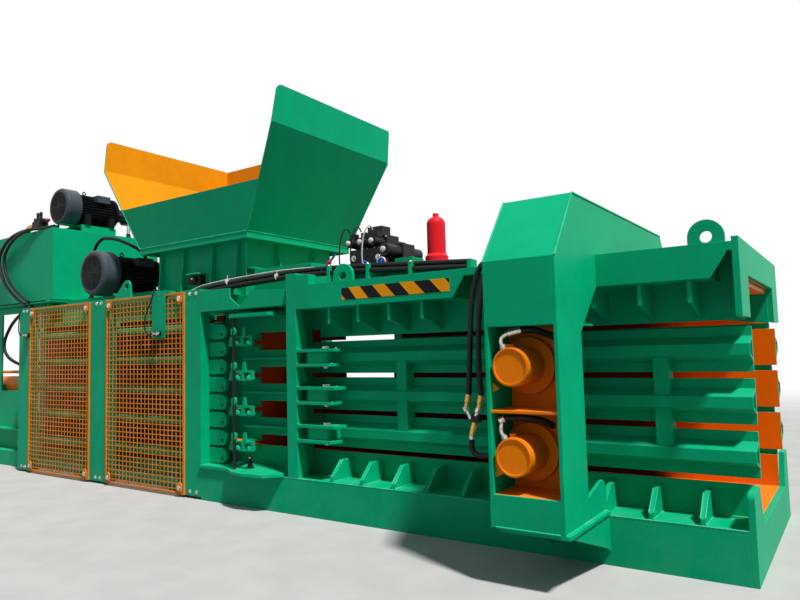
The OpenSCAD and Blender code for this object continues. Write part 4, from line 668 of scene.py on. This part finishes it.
# Fittings at the squeeze cylinders: cap elbows, and the coupling below the dropping hoses
fittings = Shape(ZINC, BRASS, VALVE_BLACK)
for route, ferrule in (
        ([(3712, -1524, 1276), (3694, -1524, 1316), (3700, -1522, 1342), (3728, -1514, 1362)],
         [(3728, -1514, 1362), (3801, -1490, 1380)]),
        ([(3702.6, -1524, 782), (3676, -1524, 826), (3676, -1520, 862), (3682, -1516, 886)],
         [(3664, -1521, 880), (3695, -1514, 896)])):
    fittings.use(ZINC)
    fittings.tube(flowing(route, 5), 15, 12)
    fittings.lathe(route[0], route[1], [(2, 20), (26, 20)], 6)
    fittings.lathe(ferrule[0], ferrule[1], [(0, 17), (4, 23), (20, 23), (24, 20.5), (30, 22),
                                            (math.dist(*ferrule), 21)], 16)
for top, knee, end in ((DROP_A_END, (3160, -985, 893), (3191, -985, 827)),
                       (DROP_B_END, (3254, -989, 884), (3231, -989, 839))):
    fittings.use(BRASS)
    fittings.lathe(top, knee, [(0, 21), (50, 22), (54, 18), (94, 18)], 16)
    fittings.use(ZINC)
    fittings.lathe(knee, end, [(-12, 22), (18, 22)], 6)
    fittings.tube([knee, Vector(knee).lerp(Vector(end), 0.6), end], 14, 12)
fittings.use(VALVE_BLACK)
fittings.box(3204, 3262, -1010, -964, 806, 846)
fittings.use(BRASS)
fittings.lathe((3222, -988, 806), (3200, -988, 716), [(0, 20), (30, 20), (34, 23), (92, 22)], 16)
fittings.use(ZINC)
fittings.rod((3191, -985, 838), (3206, -988, 826), 14, 12)
fittings.rod((3200, -988, 718), DROP_LOW_START, 20, 12)
fittings.make("squeeze_fittings")

# Fine mesh panels on the guards: a rim, two layers of strands and four bolted lugs
STRAND_W = 9
COLUMNS, ROWS = 21, 39
RIM, OVERLAP = 20, 18
LUG_IN, LUG_R, LUG_FACE = 60, 34, NEAR_FACE - 26
for name, x0, x1 in (("left", -2634, -1392), ("right", -1086, 171)):
    z0, z1 = GUARD_Z
    panel = Shape(STRAND, ZINC)
    for a0, a1, b0, b1 in ((x0, x1, z0, z0 + RIM), (x0, x1, z1 - RIM, z1),
                           (x0, x0 + RIM, z0 + RIM, z1 - RIM),
                           (x1 - RIM, x1, z0 + RIM, z1 - RIM)):
        panel.box(a0, a1, NEAR_FACE - 16, NEAR_FACE, b0, b1)
    for k in range(1, COLUMNS):
        x = x0 + (x1 - x0) * k / COLUMNS
        panel.box(x - STRAND_W / 2, x + STRAND_W / 2, NEAR_FACE - 12, NEAR_FACE - 8,
                  z0 + OVERLAP, z1 - OVERLAP)
    for k in range(1, ROWS):
        z = z0 + (z1 - z0) * k / ROWS
        panel.box(x0 + OVERLAP, x1 - OVERLAP, NEAR_FACE - 9, NEAR_FACE - 5,
                  z - STRAND_W / 2, z + STRAND_W / 2)
    for x in (x0 + LUG_IN, x1 - LUG_IN):
        for z, lean in ((z0 + LUG_IN, 1), (z1 - LUG_IN, -1)):
            lug = [(x - LUG_R, z - LUG_R * lean), (x + LUG_R, z - LUG_R * lean)]
            lug += [(x + LUG_R * math.cos(a), z + 20 * lean + LUG_R * math.sin(a) * lean)
                    for a in (math.pi * i / 10 for i in range(11))]
            panel.prism(lug, "y", LUG_FACE, LUG_FACE + 12)
            panel.use(ZINC)
            panel.bolt((x, LUG_FACE, z), OUT, 26, 10)
            panel.use(STRAND)
    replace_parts(panel.make("mesh_panel_" + name), "guard_mesh_" + name)


# Striped plate on the top beam
def clipped(corners, low, high):
    """The part of an (x, z) outline between two upright lines."""
    for sign, edge in ((1, low), (-1, high)):
        kept = []
        for a, b in zip(corners, corners[1:] + corners[:1]):
            da, db = sign * (a[0] - edge), sign * (b[0] - edge)
            if da >= 0:
                kept.append(a)
            if da * db < 0:
                t = da / (da - db)
                kept.append((a[0] + (b[0] - a[0]) * t, a[1] + (b[1] - a[1]) * t))
        corners = kept
    return corners


stripes = Shape(ORANGE_STRIPE, BLACK_STRIPE)
PLATE_X, PLATE_L, PLATE_Z = 2058, 964, (1686, 1779)
PLATE_FACE, STRIPE_FACE = -921.5, -922.2
stripes.box(PLATE_X, PLATE_X + PLATE_L, PLATE_FACE, NEAR_FACE, *PLATE_Z)
# Where each stripe's edge cuts the plate's top and bottom, in parts of its length
CUTS_PER_PLATE = 1200
TOP_CUTS = [-60, 85, 225, 370, 515, 675, 835, 1000, 1160, 1320]
LOW_CUTS = [50, 180, 325, 480, 630, 785, 950, 1115, 1260, 1400]
stripes.use(BLACK_STRIPE)
for k in range(0, len(TOP_CUTS) - 1, 2):
    run = [(PLATE_X + cut * PLATE_L / CUTS_PER_PLATE, z) for cut, z in (
        (TOP_CUTS[k], PLATE_Z[1]), (TOP_CUTS[k + 1], PLATE_Z[1]),
        (LOW_CUTS[k + 1], PLATE_Z[0]), (LOW_CUTS[k], PLATE_Z[0]))]
    stripes.prism(clipped(run, PLATE_X, PLATE_X + PLATE_L), "y", STRIPE_FACE, PLATE_FACE)
stripes.make("striped_plate")

# Weld seams that show on the near side: gussets, base, foot, straps and hood
GUSSETS = [1905 + 290 * k for k in range(6)] + [4565, 4290]
# The seams take the lighter green, a painted highlight
welds = Shape(GREEN_LIT)
for x in GUSSETS:
    for side in (-13, 13):
        welds.weld((x + side, -893, 287), (x + side, -622, 287))
        welds.weld((x + side, -893, 322), (x + side, -772, 438), 4)
for y, z, x0, x1 in ((-916, BASE_TOP, 430, 3560), (-916, BASE_TOP, 4080, 4794),
                     (-620, 290, 1600, 4780)):
    welds.weld((x0, y, z), (x1, y, z))
for x in SQUEEZE_PLATES:
    welds.weld((x, -1578, 318), (x, -930, 318), 6)
welds.weld((3650, -1582, 319), (4020, -1582, 319), 6)
for z in BEAM_ROWS:
    for edge in (-71, -46, 46, 71):
        welds.weld((1572, -918, z + edge), (1572, -800, z + edge), 4)
for x in SQUEEZE_PLATES:
    welds.weld((x, -1580, 1767), (x, -1276, 2153))
for x in SQUEEZE_PLATES:
    welds.weld((x, -1276, 2155), (x, 720, 2155))
welds.make("weld_seams")

# Seams where the hopper's sheets meet: its corners, its foot and the neck's corner
FOOT_X, FOOT_Y, FOOT_Z = 811, 733, 2412
EDGE_X, EDGE_Y, EDGE_Z = 1264, 860, 3292
# The seams take the lighter green, a painted highlight
seams = Shape(GREEN_LIT)
for sx in (-1, 1):
    for sy in (-1, 1):
        seams.weld((sx * FOOT_X, sy * FOOT_Y, FOOT_Z), (sx * EDGE_X, sy * EDGE_Y, EDGE_Z))
    seams.weld((sx * 812, -730, 2410), (sx * 812, 730, 2410))
    seams.weld((sx * 651, -602, 1800), (sx * 651, -602, 2345))
seams.weld((-810, -733, 2410), (810, -733, 2410))
seams.make("hopper_seams")

# Bolts and small parts of the near side
bolts = Shape(ZINC)
for x in (-2800, -2730, -1280, -1200, 240, 330):
    for z in (60, 1860):
        bolts.bolt((x, NEAR_FACE, z), OUT, 20, 9)
for z in BEAM_ROWS:
    for x, low, high in ((1958, 71, 79), (1915, -46, -42)):
        bolts.rod((x, -880, z + low), (x, -880, z + high), 9, 10)
for z in (760, 1116):
    for x in (3652, 4012):
        bolts.bolt((x, -1300, z), OUT, 26, 14)
bolts.make("frame_bolts")

# Brackets at the squeeze cylinders' caps
brackets = Shape(AMBER)
for outline in ([(3642, 1097), (3682, 1060), (3642, 1043)],
                [(3642, 692), (3660, 690), (3690, 600), (3642, 578)]):
    brackets.prism(outline, "y", -1545, -1533)
brackets.make("cap_brackets")

# Valve details: pale coil ends, gauge, plugs
valves = Shape(WHITE_PLASTIC, ZINC, BLUE, ORANGE)
for k in range(3):
    x = COIL_X + COIL_STEP * k
    valves.use(WHITE_PLASTIC)
    valves.lathe((x, COIL_FACE, COIL_Z), (x, COIL_FACE - 18, COIL_Z),
                 [(0, 22), (10, 22), (14, 17), (18, 9)], 18)
    valves.use(ZINC)
    for dx in (-38, 38):
        for dz in (-40, 48):
            valves.bolt((x + dx, VALVE_FACE, COIL_Z + dz), OUT, 12, 7)
valves.use(WHITE_PLASTIC)
valves.lathe((2252, -626, 2095), (2252, -642, 2095), [(0, 24), (12, 24), (16, 16)], 18)
for finish, near, far, profile in ((ZINC, -641, -634, [(0, 44), (4, 46), (7, 43)]),
                                   (BLUE, -643, -641, [(0, 37), (2, 37)])):
    valves.use(finish)
    valves.lathe((GAUGE_X, far, GAUGE_Z), (GAUGE_X, near, GAUGE_Z), profile, 28)
valves.use(WHITE_PLASTIC)
valves.prism([(GAUGE_X - 2, GAUGE_Z), (GAUGE_X + 2, GAUGE_Z), (GAUGE_X + 18, GAUGE_Z + 24),
              (GAUGE_X + 15, GAUGE_Z + 26)], "y", -644.5, -643)
valves.use(ORANGE)
valves.lathe((2058, -632, 1989), (2058, -640, 1989), [(0, 13), (6, 13), (8, 10)], 16)
valves.use(ZINC)
for x, z in ((1900, 1965), (1960, 1965), (2130, 1960), (2150, 2050), (1900, 2060)):
    valves.bolt((x, BLOCK_FACE, z), OUT, 26, 16)
valves.make("valve_fittings")

# Limit switches: bodies with screws, glands and thin cables
switches = Shape(VALVE_BLACK, ZINC, GREEN_LIT)
for x, z in SWITCHES:
    switches.use(VALVE_BLACK)
    switches.rod((x - 2, -964, z + 23), (x - 26, -964, z + 23), 13, 12)
    switches.rod((x + 45, -986, z + 23), (x + 45, -972, z + 23), 20, 16)
    switches.use(ZINC)
    for dx in (12, 78):
        for dz in (8, 38):
            switches.rod((x + dx, -986, z + dz), (x + dx, -989, z + dz), 5, 8)
# The caps take the lighter green, a painted highlight
switches.use(GREEN_LIT)
for z in (1840, 1880):
    switches.rod((-204, -936, z), (-204, -944, z), 14, 6)
switches.make("switch_details")
hose("switch_cable_right", [
    (-272, -964, 1506), (-330, -968, 1500), (-372, -972, 1560), (-360, -974, 1680),
    (-300, -970, 1790), (-262, -962, 1880), (-262, -940, 1935), (-262, -900, 1925),
    (-262, -860, 1902)], THIN_CABLE, RUBBER)
hose("switch_cable_left", [
    (-2726, -964, 1573), (-2780, -966, 1574), (-2820, -968, 1620), (-2824, -966, 1740),
    (-2812, -950, 1880), (-2800, -925, 1925), (-2790, -880, 1915), (-2780, -850, 1902)],
    THIN_CABLE, RUBBER)

# Cables of the valves, and the pale cable beside the top hoses
for k, finish in enumerate((RUBBER, RUBBER, WHITE_PLASTIC)):
    x = COIL_X + COIL_STEP * k
    hose(f"coil_cable_{k}", [
        (x, -596, 2268), (x - 4, -640, 2300), (x - 30, -668, 2250), (x - 52, -672, 2150),
        (x - 62, -668, 2040), (x - 60, -650, 1960), (x - 56, -640, 1926)],
        THIN_CABLE, finish)
hose("pale_cable", [
    (-600, -672, 2000), (-540, -690, 1930), (-300, -716, 1902), (0, -732, 1915), (200, -729, 1955),
    (500, -729, 1978), (800, -729, 1993), (1100, -728, 2003), (1400, -724, 2004),
    (1650, -700, 1990), (1830, -680, 1925)], 14, WHITE_PLASTIC)

# Suction and drain lines of the power unit
hose("suction_hose", [
    SUCTION_START, (-2730, 520, 3212), (-2655, 450, 3180), (-2608, 360, 3110),
    (-2588, 310, 3020), (-2582, 300, 2940), (-2582, 300, 2872)], 44, BRAID)
hose("motor_drain_hose", [
    (-2060, -520, 1990), (-2056, -520, 2300), (-2016, -510, 2560), (-1893, -500, 2668),
    (-1740, -500, 2662), (-1583, -500, 2632), (-1400, -480, 2564), (-1290, -430, 2500),
    (-1262, -370, 2448), DRAIN_END])
ends = Shape(BRASS, PIPE_DARK)
ends.lathe(DRAIN_END, (-1270, -356, 2440),
           [(0, 21), (10, 25), (50, 25), (60, 20), (86, 20)], 12)
ends.use(PIPE_DARK)
for start, end, profile in (
        ((-2600, 300, 3130), (-2800, 300, 3186), [(0, 30), (40, 34), (200, 34)]),
        ((-2818, 535, 3213), (-2760, 525, 3213), [(0, 34), (20, 34), (24, 28), (56, 28)]),
        ((-2582, 300, 2868), (-2582, 300, 2940), [(0, 34), (16, 34), (20, 28), (50, 28)])):
    ends.lathe(start, end, profile, 14)
ends.rod((-2060, -520, 1985), (-2060, -520, 2010), 30, 14)
ends.make("power_unit_ends")

# Sensor under its lid on the hopper neck
sensor = Shape(PIPE_DARK, GREEN_LIT, BRASS)
sensor.box(-120, 70, -662, -601, 1990, 2076)
sensor.box(-60, 20, -684, -662, 2006, 2060)
# The lid takes the lighter green, a painted highlight
sensor.use(GREEN_LIT)
sensor.prism([(-96, 2078), (84, 2078), (84, 2092), (-96, 2092)], "y", -704, -601)
sensor.use(BRASS)
sensor.lathe((-20, -684, 2036), (-20, -700, 2036), [(0, 12), (10, 12), (16, 7)], 12)
sensor.make("neck_sensor")

# Greasing cone on the lower bracket, its tip bare
cone = Shape(PIPE_DARK, STEEL)
cone.lathe((950, -850, 311), (950, -850, 391),
           [(0, 34), (8, 33), (44, 15), (66, 11), (80, 11)], 18)
cone.use(STEEL)
cone.lathe((950, -850, 391), (950, -850, 414), [(0, 9), (5, 15), (16, 15), (23, 8)], 14)
cone.make("bracket_cone")

# Plugs and ties of the thin cables on the top hoses
plugs = Shape(BLUE, RED_CAP, WHITE_PLASTIC)
plugs.rod((1692, -736, 1956), (1762, -732, 2004), 10, 12)
plugs.rod((1784, -730, 2030), (1836, -724, 2084), 9, 12)
plugs.use(RED_CAP)
plugs.rod((1758, -732, 2000), (1788, -730, 2034), 17, 12)
plugs.use(WHITE_PLASTIC)
for x, y, z in ((545, -742, 1961), (1196, -758, 1951)):
    plugs.lathe((x, y, z), (x + 9, y, z), [(0, 27), (9, 27)], 18)
    plugs.rod((x + 4, y, z + 24), (x + 10, y, z + 58), 4, 8)
plugs.make("cable_plugs")


# Floor and light: greys, strengths and linear colours, lengths in metres
FLOOR_REACH = 60.0
FLOOR_DARK, FLOOR_PALE, FLOOR_DULLED = 0.46, 0.5, 0.5
WHITE_FROM, WHITE_TO = 8.0, 17.0
SKY, SKY_STRENGTH = (0.8, 0.92, 1.0, 1.0), 0.25
WHITE = (1.0, 1.0, 1.0, 1.0)
SUN_FROM, SUN_STRENGTH, SUN_SPREAD = (0.46, -0.17, 0.87), 4.3, 5.0
SUN_TONE = (1.0, 0.97, 0.93)


def add_stage():
    material = bpy.data.materials.new("pale_floor")
    material.use_nodes = True
    tree = material.node_tree
    tree.nodes.clear()
    w = Wiring(tree)
    where = w.place()
    away = w.node("ShaderNodeVectorMath", {0: where}, operation="LENGTH").outputs["Value"]
    path = w.node("ShaderNodeLightPath")
    # Seen straight on the floor is pale, and to the shaded sides it throws back less light
    dull = w.math("SUBTRACT", 1.0,
                  w.math("MULTIPLY", path.outputs["Is Diffuse Ray"], FLOOR_DULLED))
    grain = w.math("MULTIPLY", w.ramp(w.noise(where, 3.0), 0.3, 0.7, FLOOR_DARK, FLOOR_PALE),
                   dull)
    ground = w.node("ShaderNodeBsdfDiffuse", {"Color": w.grey(grain)})
    glow = w.node("ShaderNodeEmission", {"Color": WHITE, "Strength": 1.0})
    share = w.math("MULTIPLY", w.seen_straight(path), w.ramp(away, WHITE_FROM, WHITE_TO))
    w.node("ShaderNodeOutputMaterial", {"Surface": w.node(
        "ShaderNodeMixShader", {0: share, 1: ground.outputs[0], 2: glow.outputs[0]}).outputs[0]})
    mesh = bpy.data.meshes.new("floor")
    corners = [(sx * FLOOR_REACH, sy * FLOOR_REACH, 0)
               for sx, sy in ((-1, -1), (1, -1), (1, 1), (-1, 1))]
    mesh.from_pydata(corners, [], [(0, 1, 2, 3)])
    mesh.materials.append(material)
    floor = bpy.data.objects.new("floor", mesh)
    bpy.context.scene.collection.objects.link(floor)

    world = bpy.data.worlds.new("studio")
    world.use_nodes = True
    tree = world.node_tree
    tree.nodes.clear()
    w = Wiring(tree)
    seen = w.seen_straight(w.node("ShaderNodeLightPath"))
    soft = w.node("ShaderNodeBackground", {"Color": SKY, "Strength": SKY_STRENGTH})
    white = w.node("ShaderNodeBackground", {"Color": WHITE, "Strength": 1.0})
    w.node("ShaderNodeOutputWorld", {"Surface": w.node(
        "ShaderNodeMixShader", {0: seen, 1: soft.outputs[0], 2: white.outputs[0]}).outputs[0]})
    bpy.context.scene.world = world

    key = bpy.data.lights.new("key_sun", "SUN")
    key.energy = SUN_STRENGTH
    key.angle = math.radians(SUN_SPREAD)
    key.color = SUN_TONE
    sun = bpy.data.objects.new("key_sun", key)
    sun.rotation_euler = Vector(SUN_FROM).to_track_quat("Z", "Y").to_euler()
    bpy.context.scene.collection.objects.link(sun)
    bpy.context.scene.view_settings.view_transform = "Standard"


add_stage()
